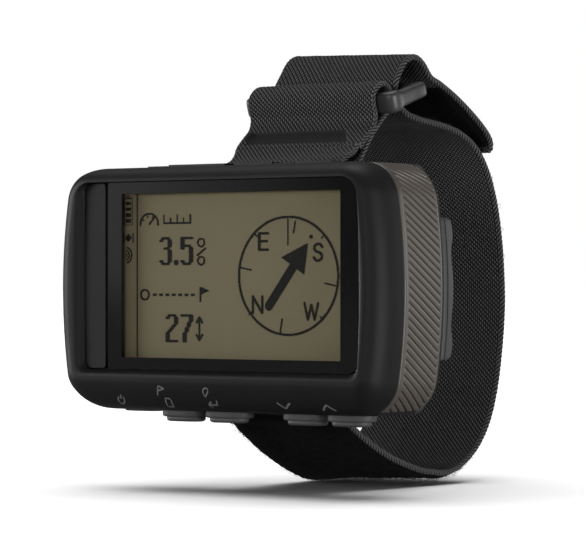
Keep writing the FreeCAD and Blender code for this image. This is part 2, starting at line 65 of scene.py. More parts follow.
# ------------------------------------------------------------------ frame
# Shapes below are in millimetres: x along the unit, y from the glass back
# towards the wrist, z about the unit's centre. The row's origin is the middle
# of the wrist opening, 45 mm behind the glass.
Y0 = 45.0
FLOOR_Z = CAD_BOX[0].z
UNIT_W, UNIT_H, BULGE_R, CORNER_R = 72.1, 43.5, 104.1, 7.0
POCKET = (-29.8, 31.1, -14.45, 19.05)
LENS = (-24.15, 31.0, -14.35, 18.95)
VIEW = (-20.95, 27.35, -12.2, 16.9)


def metres(p):
    p = np.asarray(p, float).reshape(-1, 3)
    return np.stack([p[:, 0], p[:, 1] - Y0, p[:, 2]], 1) * 0.001


# ------------------------------------------------------------------ camera
cam = bpy.data.objects.new("camera", bpy.data.cameras.new("camera"))
bpy.context.scene.collection.objects.link(cam)
cam.location = (0.33634, -0.46817, 0.00120)
cam.rotation_euler = (math.radians(90), 0, math.radians(37))
cam.data.sensor_width = 36
cam.data.lens = 3100 / 586 * 36
cam.data.shift_y = 5.5 / 586
cam.data.clip_start = 0.05
cam.data.clip_end = 60
bpy.context.scene.camera = cam

# ------------------------------------------------------------------ mesh making
def new_mesh(name, verts, faces):
    """verts in mm; faces is a list of index arrays of one size each."""
    me = bpy.data.meshes.new(name)
    v = metres(verts).astype(np.float32)
    me.vertices.add(len(v))
    me.vertices.foreach_set("co", v.ravel())
    groups = [np.asarray(f, np.int32) for f in faces if len(f)]
    loops = np.concatenate([f.ravel() for f in groups])
    total = np.concatenate([np.full(len(f), f.shape[1], np.int32) for f in groups])
    start = np.concatenate([[0], np.cumsum(total)[:-1]]).astype(np.int32)
    me.loops.add(len(loops))
    me.loops.foreach_set("vertex_index", loops)
    me.polygons.add(len(total))
    me.polygons.foreach_set("loop_start", start)
    me.polygons.foreach_set("loop_total", total)
    me.update(calc_edges=True)
    me.validate()
    me.polygons.foreach_set("use_smooth", np.ones(len(me.polygons), bool))
    return me


def piece(name, verts, faces, mat, body="unit", stands_for=(), sharp=None, uv=None, flat=False):
    me = new_mesh(name, verts, faces)
    if uv is not None:
        lay = me.uv_layers.new(name="UVMap")
        idx = np.empty(len(me.loops), np.int32)
        me.loops.foreach_get("vertex_index", idx)
        lay.data.foreach_set("uv", np.asarray(uv, np.float32)[idx].ravel())
    if flat:
        me.polygons.foreach_set("use_smooth", np.zeros(len(me.polygons), bool))
    if sharp:
        me.set_sharp_from_angle(angle=math.radians(sharp))
    me.materials.append(mat)
    ob = bpy.data.objects.new(name, me)
    bpy.context.scene.collection.objects.link(ob)
    if body:
        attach(ob, body)
    if stands_for:
        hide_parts(*stands_for)
    return ob


def grid_faces(nu, nv, close_u=False, close_v=False, flip=False, base=0):
    iu = np.arange(nu if close_u else nu - 1)
    iv = np.arange(nv if close_v else nv - 1)
    a, b = np.meshgrid(iu, iv, indexing="ij")
    a1, b1 = (a + 1) % nu, (b + 1) % nv
    q = np.stack([a * nv + b, a1 * nv + b, a1 * nv + b1, a * nv + b1], -1).reshape(-1, 4)
    if flip:
        q = q[:, ::-1]
    return q + base


def fan(ring, flip=False):
    """One n-gon over a ring of vertex numbers."""
    r = np.asarray(ring)[::-1] if flip else np.asarray(ring)
    return r.reshape(1, -1)


def smooth_noise(x, y, seed, cell=1.0):
    """Value noise in two dimensions, from -1 to 1."""
    x, y = np.asarray(x) / cell, np.asarray(y) / cell
    xi, yi = np.floor(x).astype(np.int64), np.floor(y).astype(np.int64)
    fx, fy = x - xi, y - yi
    fx, fy = fx * fx * (3 - 2 * fx), fy * fy * (3 - 2 * fy)

    def h(a, b):
        n = (a * 374761393 + b * 668265263 + seed * 974711) & 0x7FFFFFFF
        n = ((n ^ (n >> 13)) * 1274126177) & 0x7FFFFFFF
        return ((n ^ (n >> 16)) & 0xFFFF) / 32767.5 - 1
    return (h(xi, yi) * (1 - fx) + h(xi + 1, yi) * fx) * (1 - fy) + (
        h(xi, yi + 1) * (1 - fx) + h(xi + 1, yi + 1) * fx) * fy


def curve_through(pts, n=24, closed=False):
    """Centripetal curve through 2-D points, dense."""
    pts = [tuple(p) for p in pts]
    if closed:
        P = [pts[-1]] + pts + [pts[0], pts[1]]
    else:
        P = [(2 * pts[0][0] - pts[1][0], 2 * pts[0][1] - pts[1][1])] + pts + [
            (2 * pts[-1][0] - pts[-2][0], 2 * pts[-1][1] - pts[-2][1])]
    P = np.array(P, float)
    out = []
    for i in range(1, len(P) - 2):
        p0, p1, p2, p3 = P[i - 1:i + 3]
        t = [0.0]
        for a, b in ((p0, p1), (p1, p2), (p2, p3)):
            t.append(t[-1] + max(1e-6, math.hypot(*(b - a))) ** 0.5)
        for k in range(n):
            u = t[1] + (t[2] - t[1]) * k / n
            L = lambda a, b, ta, tb: a + (b - a) * ((u - ta) / (tb - ta))
            a1, a2, a3 = L(p0, p1, t[0], t[1]), L(p1, p2, t[1], t[2]), L(p2, p3, t[2], t[3])
            out.append(L(L(a1, a2, t[0], t[2]), L(a2, a3, t[1], t[3]), t[1], t[2]))
    if not closed:
        out.append(P[-2])
    return np.array(out)


def even(c, step, closed=False):
    """The curve again, with points at an even spacing of about step."""
    if closed:
        c = np.vstack([c, c[:1]])
    s = np.concatenate([[0], np.cumsum(np.linalg.norm(np.diff(c, axis=0), axis=1))])
    n = max(2, int(round(s[-1] / step)))
    t = np.linspace(0, s[-1], n + 1)
    out = np.stack([np.interp(t, s, c[:, k]) for k in range(c.shape[1])], 1)
    return (out[:-1], t[:-1], s[-1]) if closed else (out, t, s[-1])


def normals2d(c, closed=False):
    """Unit normals to the left of the way the points run."""
    if closed:
        d = np.roll(c, -1, 0) - np.roll(c, 1, 0)
    else:
        d = np.gradient(c, axis=0)
    d /= np.linalg.norm(d, axis=1)[:, None]
    return np.stack([-d[:, 1], d[:, 0]], 1)


def smooth_rows(n, k=6, closed=False):
    """Evens out a list of normals."""
    for _ in range(k):
        if closed:
            n = (np.roll(n, 1, 0) + n + np.roll(n, -1, 0)) / 3
        else:
            m = n.copy()
            m[1:-1] = (n[:-2] + n[1:-1] + n[2:]) / 3
            n = m
    return n / np.linalg.norm(n, axis=1)[:, None]


def step01(x, a, b):
    t = np.clip((np.asarray(x, float) - a) / (b - a), 0, 1)
    return t * t * (3 - 2 * t)


# ------------------------------------------------------------------ materials
def lin(hexa):
    out = []
    for k in (0, 2, 4):
        c = int(hexa[k:k + 2], 16) / 255
        out.append(c / 12.92 if c <= 0.04045 else ((c + 0.055) / 1.055) ** 2.4)
    return out


class Mat:
    def __init__(self, name):
        self.m = bpy.data.materials.new(name)
        self.m.use_nodes = True
        self.t = self.m.node_tree
        self.t.nodes.clear()
        self.out = self.n("ShaderNodeOutputMaterial")
        self.p = self.n("ShaderNodeBsdfPrincipled")
        self.l(self.p.outputs[0], self.out.inputs["Surface"])
        self.co = self.n("ShaderNodeTexCoord")

    def n(self, kind, **kw):
        node = self.t.nodes.new(kind)
        for k, v in kw.items():
            setattr(node, k, v)
        return node

    def l(self, a, b):
        self.t.links.new(a, b)

    def set(self, **kw):
        for k, v in kw.items():
            self.p.inputs[k.replace("_", " ")].default_value = v
        return self

    def noise(self, scale, detail=3, rough=0.55, coord="Object", distort=0.0):
        t = self.n("ShaderNodeTexNoise")
        t.inputs["Scale"].default_value = scale
        t.inputs["Detail"].default_value = detail
        t.inputs["Roughness"].default_value = rough
        t.inputs["Distortion"].default_value = distort
        self.l(self.co.outputs[coord], t.inputs["Vector"])
        return t.outputs["Fac"]

    def ramp(self, fac, stops):
        r = self.n("ShaderNodeValToRGB")
        e = r.color_ramp.elements
        while len(e) < len(stops):
            e.new(0.5)
        for el, (pos, col) in zip(e, stops):
            el.position = pos
            el.color = (*col, 1) if len(col) == 3 else col
        self.l(fac, r.inputs["Fac"])
        return r.outputs["Color"]

    def math(self, op, a, b=None, clamp=False):
        m = self.n("ShaderNodeMath", operation=op, use_clamp=clamp)
        for i, v in enumerate((a, b)):
            if v is None:
                continue
            if isinstance(v, (int, float)):
                m.inputs[i].default_value = v
            else:
                self.l(v, m.inputs[i])
        return m.outputs[0]

    def mix(self, fac, a, b, blend="MIX"):
        m = self.n("ShaderNodeMix", data_type="RGBA", blend_type=blend)
        for sock, v in ((m.inputs[0], fac), (m.inputs[6], a), (m.inputs[7], b)):
            if isinstance(v, (int, float)):
                sock.default_value = v
            elif isinstance(v, (tuple, list)):
                sock.default_value = (*v[:3], 1)
            else:
                self.l(v, sock)
        return m.outputs[2]

    def color(self, sock):
        self.l(sock, self.p.inputs["Base Color"])
        return self

    def rough(self, sock):
        self.l(sock, self.p.inputs["Roughness"])
        return self

    def bump(self, height, dist=0.0001, strength=0.5):
        b = self.n("ShaderNodeBump")
        b.inputs["Strength"].default_value = strength
        b.inputs["Distance"].default_value = dist
        self.l(height, b.inputs["Height"])
        self.l(b.outputs["Normal"], self.p.inputs["Normal"])
        return self


def grey(v):
    return (v, v, v)


def plastic(name, base, rough=(0.42, 0.56), spec=0.3, grain=2600, bump=0.12, vary=0.14):
    m = Mat(name)
    m.set(Specular_IOR_Level=spec)
    big = m.noise(90, 3)
    fine = m.noise(grain, 2)
    a = [c * (1 - vary) for c in base]
    b = [c * (1 + vary) for c in base]
    m.color(m.mix(m.math("MULTIPLY", fine, 0.35), m.ramp(big, [(0.3, a), (0.7, b)]), [c * 1.5 for c in base]))
    m.rough(m.math("ADD", m.math("MULTIPLY", big, rough[1] - rough[0]), rough[0]))
    m.bump(fine, 0.00006, bump)
    return m.m


def metal(name, base, rough=0.3, brushed=(8, 400, 400)):
    m = Mat(name)
    m.set(Metallic=1.0)
    mp = m.n("ShaderNodeMapping")
    mp.inputs["Scale"].default_value = brushed
    m.l(m.co.outputs["Object"], mp.inputs["Vector"])
    t = m.n("ShaderNodeTexNoise")
    t.inputs["Scale"].default_value = 12
    t.inputs["Detail"].default_value = 4
    m.l(mp.outputs[0], t.inputs["Vector"])
    f = t.outputs["Fac"]
    m.color(m.ramp(f, [(0.3, [c * 0.85 for c in base]), (0.7, [min(1, c * 1.1) for c in base])]))
    m.rough(m.math("ADD", m.math("MULTIPLY", f, 0.2), rough - 0.1))
    m.bump(f, 0.00002, 0.25)
    return m.m


M = {}
M["case"] = plastic("case_black", grey(0.0066), (0.44, 0.58), 0.20, 3200, 0.10)
M["bezel"] = plastic("bezel_black", grey(0.0068), (0.48, 0.60), 0.12, 3600, 0.08)
M["plate"] = plastic("plate_black", grey(0.0036), (0.50, 0.60), 0.10, 5200, 0.12)
M["latch"] = plastic("latch_grey", grey(0.034), (0.46, 0.58), 0.28, 2400, 0.15)
M["ring"] = plastic("ring_plastic", grey(0.026), (0.36, 0.50), 0.32, 2000, 0.10)
M["key"] = plastic("key_rubber", grey(0.036), (0.5, 0.65), 0.32, 2600, 0.2)
M["seal"] = plastic("seal_rubber", grey(0.006), (0.6, 0.75), 0.2, 2200, 0.2)


def paint_groove_shade(mat):
    """Painted shade lines in the grip's grooves, darkest at each groove's middle: u counts grooves, v is where they are
    cut.
    """
    nt = mat.node_tree
    p = next(n for n in nt.nodes if n.type == "BSDF_PRINCIPLED")
    old = p.inputs["Base Color"].links[0].from_socket

    def op(kind, a, b=None, clamp=False):
        nd = nt.nodes.new("ShaderNodeMath")
        nd.operation, nd.use_clamp = kind, clamp
        for k, v in enumerate((a, b)):
            if isinstance(v, (int, float)):
                nd.inputs[k].default_value = v
            elif v is not None:
                nt.links.new(v, nd.inputs[k])
        return nd.outputs[0]
    sep = nt.nodes.new("ShaderNodeSeparateXYZ")
    nt.links.new(nt.nodes.new("ShaderNodeTexCoord").outputs["UV"], sep.inputs[0])
    # painted shade: 1 at the middle of each groove, falling to 0 beside it
    off = op("ABSOLUTE", op("SUBTRACT", op("FRACT", op("ADD", sep.outputs[0], 0.5)), 0.5))
    dark = op("SUBTRACT", 1.0, op("MULTIPLY", off, 9.0, True), True)
    mx = nt.nodes.new("ShaderNodeMix")
    mx.data_type = "RGBA"
    nt.links.new(op("MULTIPLY", op("MULTIPLY", dark, sep.outputs[1]), 0.75), mx.inputs[0])
    nt.links.new(old, mx.inputs[6])
    # the colour of the painted groove shade
    mx.inputs[7].default_value = (0.008, 0.0075, 0.007, 1)
    nt.links.new(mx.outputs[2], p.inputs["Base Color"])


M["mask"] = plastic("mask_print", grey(0.0012), (0.06, 0.10), 0.40, 60, 0.0)
M["icon"] = plastic("icon_print", grey(0.115), (0.6, 0.7), 0.15, 5000, 0.05)
M["grip"] = plastic("grip_rubber", lin("433e39"), (0.34, 0.44), 0.42, 2800, 0.18, 0.10)
# the grip's grooves get painted shade in their colour
paint_groove_shade(M["grip"])
M["grip_groove"] = M["grip"]
M["switch"] = plastic("switch_plastic", grey(0.05), (0.4, 0.5), 0.4)
M["board"] = plastic("board_mask", (0.008, 0.09, 0.035), (0.28, 0.4), 0.5, 900, 0.06)
M["ceramic"] = plastic("antenna_ceramic", (0.52, 0.44, 0.31), (0.5, 0.65), 0.4, 1500, 0.1)
M["guide"] = plastic("light_guide", (0.75, 0.77, 0.75), (0.2, 0.3), 0.5, 700, 0.03)
M["cell"] = plastic("cell_sleeve", (0.07, 0.075, 0.085), (0.25, 0.35), 0.5, 800, 0.04)
M["steel"] = metal("plain_steel", grey(0.55), 0.32)
M["bar"] = metal("bar_steel", grey(0.42), 0.28)
M["brass"] = metal("brass", (0.62, 0.46, 0.18), 0.3)
M["contact"] = metal("nickel", (0.62, 0.60, 0.55), 0.22)
M["screw"] = metal("screw_black", grey(0.05), 0.38, (200, 200, 200))


def lens_material():
    m = Mat("lens_glass")
    m.t.nodes.remove(m.p)
    tr = m.n("ShaderNodeBsdfTransparent")
    gl = m.n("ShaderNodeBsdfGlossy")
    tint = m.noise(40, 2)
    m.l(m.ramp(tint, [(0.2, (0.985, 0.985, 0.98)), (0.8, (0.995, 0.995, 0.99))]), tr.inputs["Color"])
    m.l(m.ramp(m.noise(60, 2), [(0.3, grey(0.03)), (0.8, grey(0.05))]), gl.inputs["Roughness"])
    gl.inputs["Color"].default_value = (0.9, 0.93, 0.97, 1)
    fr = m.n("ShaderNodeFresnel")
    fr.inputs["IOR"].default_value = 1.04
    mx = m.n("ShaderNodeMixShader")
    m.l(m.math("MINIMUM", fr.outputs[0], 0.06), mx.inputs[0])
    m.l(tr.outputs[0], mx.inputs[1])
    m.l(gl.outputs[0], mx.inputs[2])
    m.l(mx.outputs[0], m.out.inputs["Surface"])
    return m.m


M["lens"] = lens_material()


def lcd_material():
    """Reflective display: olive face with painted shade darkening it towards its edges, and a faint dot grid."""
    m = Mat("lcd_face")
    m.set(Specular_IOR_Level=0.1, Roughness=0.75)
    sep = m.n("ShaderNodeSeparateXYZ")
    m.l(m.co.outputs["Object"], sep.inputs[0])
    x, z = sep.outputs[0], sep.outputs[2]
    # painted shade: the face darkens with distance from a point a little right of and above its middle
    dx = m.math("DIVIDE", m.math("SUBTRACT", x, 0.0022), 0.0300)
    dz = m.math("DIVIDE", m.math("SUBTRACT", z, 0.0020), 0.0185)
    r2 = m.math("ADD", m.math("MULTIPLY", dx, dx), m.math("MULTIPLY", dz, dz))
    face = m.ramp(m.math("MULTIPLY", r2, 0.6), [(0.0, lin("69624e")), (0.45, lin("645d49")), (1.0, lin("504938"))])
    cx = m.math("FRACT", m.math("DIVIDE", m.math("ADD", x, 0.0223 + 0.483), 0.000483))
    cz = m.math("FRACT", m.math("DIVIDE", m.math("ADD", z, 0.0122 + 0.4547), 0.0004547))
    gap = m.math("MAXIMUM", m.math("LESS_THAN", cx, 0.09), m.math("LESS_THAN", cz, 0.09))
    tone = m.mix(m.math("MULTIPLY", gap, 0.10), face, lin("787059"))
    tone = m.mix(m.math("MULTIPLY", m.noise(260, 2), 0.12), tone, lin("4f4937"))
    m.color(tone)
    m.bump(m.noise(4000, 2), 0.00002, 0.1)
    return m.m


M["lcd"] = lcd_material()
M["lcd_mark"] = plastic("lcd_mark", (0.0075, 0.0072, 0.006), (0.6, 0.7), 0.05, 2400, 0.02, 0.2)


def cloth(name, base, hi, weave=(0.6, 0.8), fuzz=0.5, spec=0.05, sheen=0.03, pressed=False):
    """Woven synthetic tape, its stitch crowns painted lighter as highlight and its hollows darker as shade: uv are
    millimetres along (u) and across (v).
    """
    m = Mat(name)
    m.set(Specular_IOR_Level=spec, Sheen_Weight=sheen, Sheen_Roughness=0.45)
    m.p.inputs["Sheen Tint"].default_value = (0.6, 0.6, 0.62, 1)
    sep = m.n("ShaderNodeSeparateXYZ")
    m.l(m.co.outputs["UV"], sep.inputs[0])
    u, v = sep.outputs[0], sep.outputs[1]
    col = m.math("DIVIDE", v, weave[0])
    cell = m.math("FLOOR", col, 0)
    alt = m.math("MULTIPLY", m.math("MODULO", cell, 2.0), 0.5)
    along = m.math("ADD", m.math("DIVIDE", u, weave[1]), alt)
    lean = m.math("MULTIPLY", m.math("SUBTRACT", m.math("FRACT", col, 0), 0.5), LEAN)
    ph = m.math("FRACT", m.math("ADD", along, lean), 0)
    st = m.math("SINE", m.math("MULTIPLY", ph, math.pi), 0)
    cu = m.math("SINE", m.math("MULTIPLY", m.math("FRACT", col, 0), math.pi), 0)
    h = m.math("MULTIPLY", st, cu)
    yarn = m.noise(9, 3, 0.6, "UV")
    # painted highlight and shade: colour follows the stitch height h, with the dark base yarn in the hollows and the
    # lighter hi colour on the crowns
    tone = m.ramp(h, [(0.22, base), (0.5, [0.35 * c for c in hi]), (0.88, hi)])
    dark = m.ramp(yarn, [(0.38, (0, 0, 0, 1)), (0.72, (1, 1, 1, 1))])
    tone = m.mix(m.math("MULTIPLY", dark, fuzz), tone, base)
    h = m.math("ADD", h, m.math("MULTIPLY", m.noise(6000, 2), 0.5))
    if pressed:
        pos = m.n("ShaderNodeSeparateXYZ")
        m.l(m.co.outputs["Object"], pos.inputs[0])
        x, y, z = (m.math("MULTIPLY", o, 1000.0) for o in pos.outputs)

        def inside(v, a, b, soft):
            up = m.math("DIVIDE", m.math("SUBTRACT", v, a), soft, True)
            down = m.math("DIVIDE", m.math("SUBTRACT", b, v), soft, True)
            return m.math("MULTIPLY", up, down)
        slant = m.math("ADD", x, m.math("MULTIPLY", m.math("SUBTRACT", z, 27.5), 0.9))
        w = m.math("MULTIPLY", inside(z, 26.1, 28.8, 0.35), inside(slant, -13.6, 9.9, 0.5))
        w = m.math("MULTIPLY", w, inside(y, -30.0, -16.0, 0.3))
        tone = m.mix(w, tone, grey(0.014))
        h = m.math("MULTIPLY", h, m.math("SUBTRACT", 1.0, m.math("MULTIPLY", w, 0.9)))
    m.color(tone)
    m.rough(m.math("ADD", m.math("MULTIPLY", yarn, 0.25), 0.6))
    m.bump(h, 0.00014, 0.6)
    return m.m


PU, PS, LEAN = 0.47, 0.86, 0.34       # column and stitch pitch of the woven tapes, and the stitches' lean
# per tape: the dark yarn colour, which is also the painted shade in the hollows, then the painted highlight colour of
# the stitch crowns
M["weave"] = cloth("woven_tape", grey(0.0030), grey(0.100), (PU, PS))
M["weave2"] = cloth("woven_tape_short", grey(0.0040), grey(0.120), (PU, PS), pressed=True)


def rope_material():
    m = Mat("selvedge_cord")
    m.set(Specular_IOR_Level=0.06, Sheen_Weight=0.05, Sheen_Roughness=0.4)
    f = m.noise(2500, 3)
    sep = m.n("ShaderNodeSeparateXYZ")
    m.l(m.co.outputs["UV"], sep.inputs[0])
    # painted shade: the grooves between the cord's twisted strands are mixed towards black, while the strand crowns
    # keep the yarn colour
    groove = m.math("ABSOLUTE", m.math("COSINE", m.math("MULTIPLY", sep.outputs[0], math.pi), 0), 0)
    yarn = m.ramp(f, [(0.3, grey(0.045)), (0.75, grey(0.105))])
    m.color(m.mix(m.ramp(groove, [(0.42, (0, 0, 0, 1)), (0.85, (1, 1, 1, 1))]), grey(0.0012), yarn))
    m.rough(m.math("ADD", m.math("MULTIPLY", f, 0.3), 0.55))
    m.bump(m.noise(7000, 2), 0.00008, 0.5)
    return m.m


def pile_material(name, lo, hi):
    m = Mat(name)
    m.set(Specular_IOR_Level=0.02, Sheen_Weight=0.01, Sheen_Roughness=0.5)
    f = m.noise(2100, 4, 0.7)
    m.color(m.ramp(f, [(0.35, grey(lo)), (0.8, grey(hi))]))
    m.rough(m.math("ADD", m.math("MULTIPLY", f, 0.2), 0.75))
    m.bump(f, 0.00025, 0.8)
    return m.m


M["rope"] = rope_material()
M["pile"] = pile_material("loop_pile", 0.0008, 0.0090)
M["fibre"] = pile_material("pile_fibre", 0.002, 0.020)
M["hook"] = pile_material("hook_tape", 0.0008, 0.0035)

SLOT_MATERIAL = {
    "case_black": "case", "seal": "seal", "lens": "lens", "mask": "mask", "plate": "plate", "lcd": "lcd",
    "light_guide": "guide", "steel": "steel", "board": "board", "ceramic": "ceramic", "brass_disc": "brass",
    "switch": "switch", "cell": "cell", "contact": "contact", "grip": "grip", "key_rubber": "key",
    "screw": "screw", "bar": "bar", "latch": "latch", "ring": "ring", "webbing": "weave", "hook": "hook"}
for sub in frame["record"]["subparts"]:
    ob = NODES.get(sub["node"])
    if ob is not None:
        ob.data.materials.clear()
        ob.data.materials.append(M[SLOT_MATERIAL[sub["material_slot"]]])

# ------------------------------------------------------------------ outline of the case
SEG = (60, 26, 70, 26, 60, 26, 70, 26)


def outline(i_side=0.0, i_top=0.0, i_bot=0.0, seg=SEG):
    """Closed outline in x and z, clockwise from the top's left end, inset from the full size."""
    zt, zb = UNIT_H / 2 - i_top, UNIT_H / 2 - i_bot
    sx = UNIT_W / 2 - i_side
    cx = sx - BULGE_R

    def corner(zl, ins):
        r = max(1.5, CORNER_R - ins)
        z = zl - r
        x = cx + math.sqrt((BULGE_R - r) ** 2 - z * z)
        k = BULGE_R / (BULGE_R - r)
        return x, z, r, math.atan2(z * k - z, cx + (x - cx) * k - x)
    xt, zt1, rt, at = corner(zt, max(i_side, i_top) if i_top < 3 else i_top)
    xb, zb1, rb, ab = corner(zb, max(i_side, i_bot) if i_bot < 3 else i_bot)
    top_r = (xt + rt * math.cos(at), zt1 + rt * math.sin(at))
    bot_r = (xb + rb * math.cos(ab), -(zb1 + rb * math.sin(ab)))
    a0 = math.atan2(top_r[1], top_r[0] - cx)
    a1 = math.atan2(bot_r[1], bot_r[0] - cx)
    P = []

    def line(ax, az, bx, bz, n):
        for k in range(n):
            P.append((ax + (bx - ax) * k / n, az + (bz - az) * k / n))

    def arc(x, z, r, a, b, n, mx=1):
        for k in range(n):
            t = a + (b - a) * k / n
            P.append((mx * (x + r * math.cos(t)), z + r * math.sin(t)))
    line(-xt, zt, xt, zt, seg[0])
    arc(xt, zt1, rt, math.pi / 2, at, seg[1])
    arc(cx, 0, BULGE_R, a0, a1, seg[2])
    arc(xb, -zb1, rb, -ab, -math.pi / 2, seg[3])
    line(xb, -zb, -xb, -zb, seg[4])
    arc(xb, -zb1, rb, -math.pi / 2, -ab, seg[5], -1)
    arc(cx, 0, BULGE_R, a1, a0, seg[6], -1)
    arc(xt, zt1, rt, at, math.pi / 2, seg[7], -1)
    return np.array(P)


def pocket(x0, x1, z0, z1, r, rl, seg=SEG):
    """Rounded opening with the same count of points, side by side with the outline's."""
    P = []

    def line(ax, az, bx, bz, n):
        for k in range(n):
            P.append((ax + (bx - ax) * k / n, az + (bz - az) * k / n))

    def arc(x, z, r, a, n):
        for k in range(n):
            t = math.radians(a - 90 * k / n)
            P.append((x + r * math.cos(t), z + r * math.sin(t)))
    line(x0 + rl, z1, x1 - r, z1, seg[0])
    arc(x1 - r, z1 - r, r, 90, seg[1])
    line(x1, z1 - r, x1, z0 + r, seg[2])
    arc(x1 - r, z0 + r, r, 0, seg[3])
    line(x1 - r, z0, x0 + rl, z0, seg[4])
    arc(x0 + rl, z0 + rl, rl, -90, seg[5])
    line(x0, z0 + rl, x0, z1 - rl, seg[6])
    arc(x0 + rl, z1 - rl, rl, 180, seg[7])
    return np.array(P)


# ------------------------------------------------------------------ front bezel
SECT = [(6.5, 0.0, 0.0, 0.0), (4.2, 0.12, 0.08, 0.35), (2.2, 0.55, 0.4, 1.3), (0.6, 1.45, 1.0, 3.1),
        (-0.35, 2.6, 1.9, 4.9), (-0.6, 3.5, 2.7, 6.0)]


def bezel_flank(t):
    """(y, side, top, bottom) along the outer skin, t from 0 at the back to 1 at the rim."""
    c = np.array(SECT)
    k = np.linspace(0, 1, len(c))
    # smooth through the sections
    i = min(int(t * (len(c) - 1)), len(c) - 2)
    f = t * (len(c) - 1) - i
    p0, p1, p2, p3 = c[max(i - 1, 0)], c[i], c[i + 1], c[min(i + 2, len(c) - 1)]
    return 0.5 * ((2 * p1) + (-p0 + p2) * f + (2 * p0 - 5 * p1 + 4 * p2 - p3) * f * f
                  + (-p0 + 3 * p1 - 3 * p2 + p3) * f ** 3)


def make_bezel():
    rings = [np.insert(outline(2.0, 2.0, 2.0), 1, 6.5, 1), np.insert(outline(0.12, 0.12, 0.12), 1, 6.5, 1),
             np.insert(outline(0.02, 0.02, 0.02), 1, 6.42, 1)]
    for t in np.linspace(0.02, 1, 46):
        y, s, tp, b = bezel_flank(t)
        r = np.insert(outline(max(s, 0), max(tp, 0) * 0.985, max(b, 0)), 1, max(y, -0.6), 1)
        # the left flank is a little fuller than the right one
        r[:, 0] -= 0.62 * step01(-r[:, 0], 20, 33) * min(1.0, max(s, 0) / 1.3)
        rings.append(r)
    rim = rings[-1]
    inner = pocket(*POCKET, 2.3, 1.8)
    for k, y in ((0.10, -0.6), (0.25, -0.6), (0.40, -0.575), (0.50, -0.52), (0.60, -0.42), (0.70, -0.26),
                 (0.80, -0.06), (0.90, 0.17), (0.97, 0.36), (1.0, 0.52)):
        r = rim.copy()
        r[:, 0] = rim[:, 0] * (1 - k) + inner[:, 0] * k
        r[:, 2] = rim[:, 2] * (1 - k) + inner[:, 1] * k
        r[:, 1] = y
        rings.append(r)
    for y in (0.9, 1.3, 1.72):
        r = rings[-1].copy()
        r[:, 0], r[:, 2], r[:, 1] = inner[:, 0], inner[:, 1], y
        rings.append(r)
    ins = pocket(-23.0, 29.0, -13.9, 18.2, 0.5, 0.5)
    for y in (1.76, 3.4):
        r = rings[-1].copy()
        r[:, 0], r[:, 2], r[:, 1] = ins[:, 0], ins[:, 1], y
        rings.append(r)
    V = np.array(rings)
    nu, nv = V.shape[:2]
    q = grid_faces(nu, nv, close_u=True, close_v=True)
    return piece("bezel_shell", V.reshape(-1, 3), [q], M["bezel"], "unit",
                 ["front_bezel"], sharp=50)


make_bezel()

# black print behind the glass, with the display's window
def make_mask():
    o = pocket(LENS[0] + 0.03, LENS[1] - 0.03, LENS[2] + 0.03, LENS[3] - 0.03, 2.2, 0.5)
    i = pocket(*VIEW, 0.25, 0.25)
    rings = [np.insert(o, 1, 0.14, 1), np.insert(i, 1, 0.14, 1), np.insert(i, 1, 0.18, 1), np.insert(o, 1, 0.18, 1)]
    V = np.array(rings)
    return piece("window_print", V.reshape(-1, 3), [grid_faces(4, V.shape[1], close_u=True, close_v=True)],
                 M["mask"], "unit", ["lens_mask"], flat=True)


make_mask()

# ------------------------------------------------------------------ display marks
COLS, ROWS = 100, 64
LX0, LZ1, PX, PZ = -22.3, 16.9, 0.483, 0.4547


FINE = 4                 # dots to one cell of the layout grid


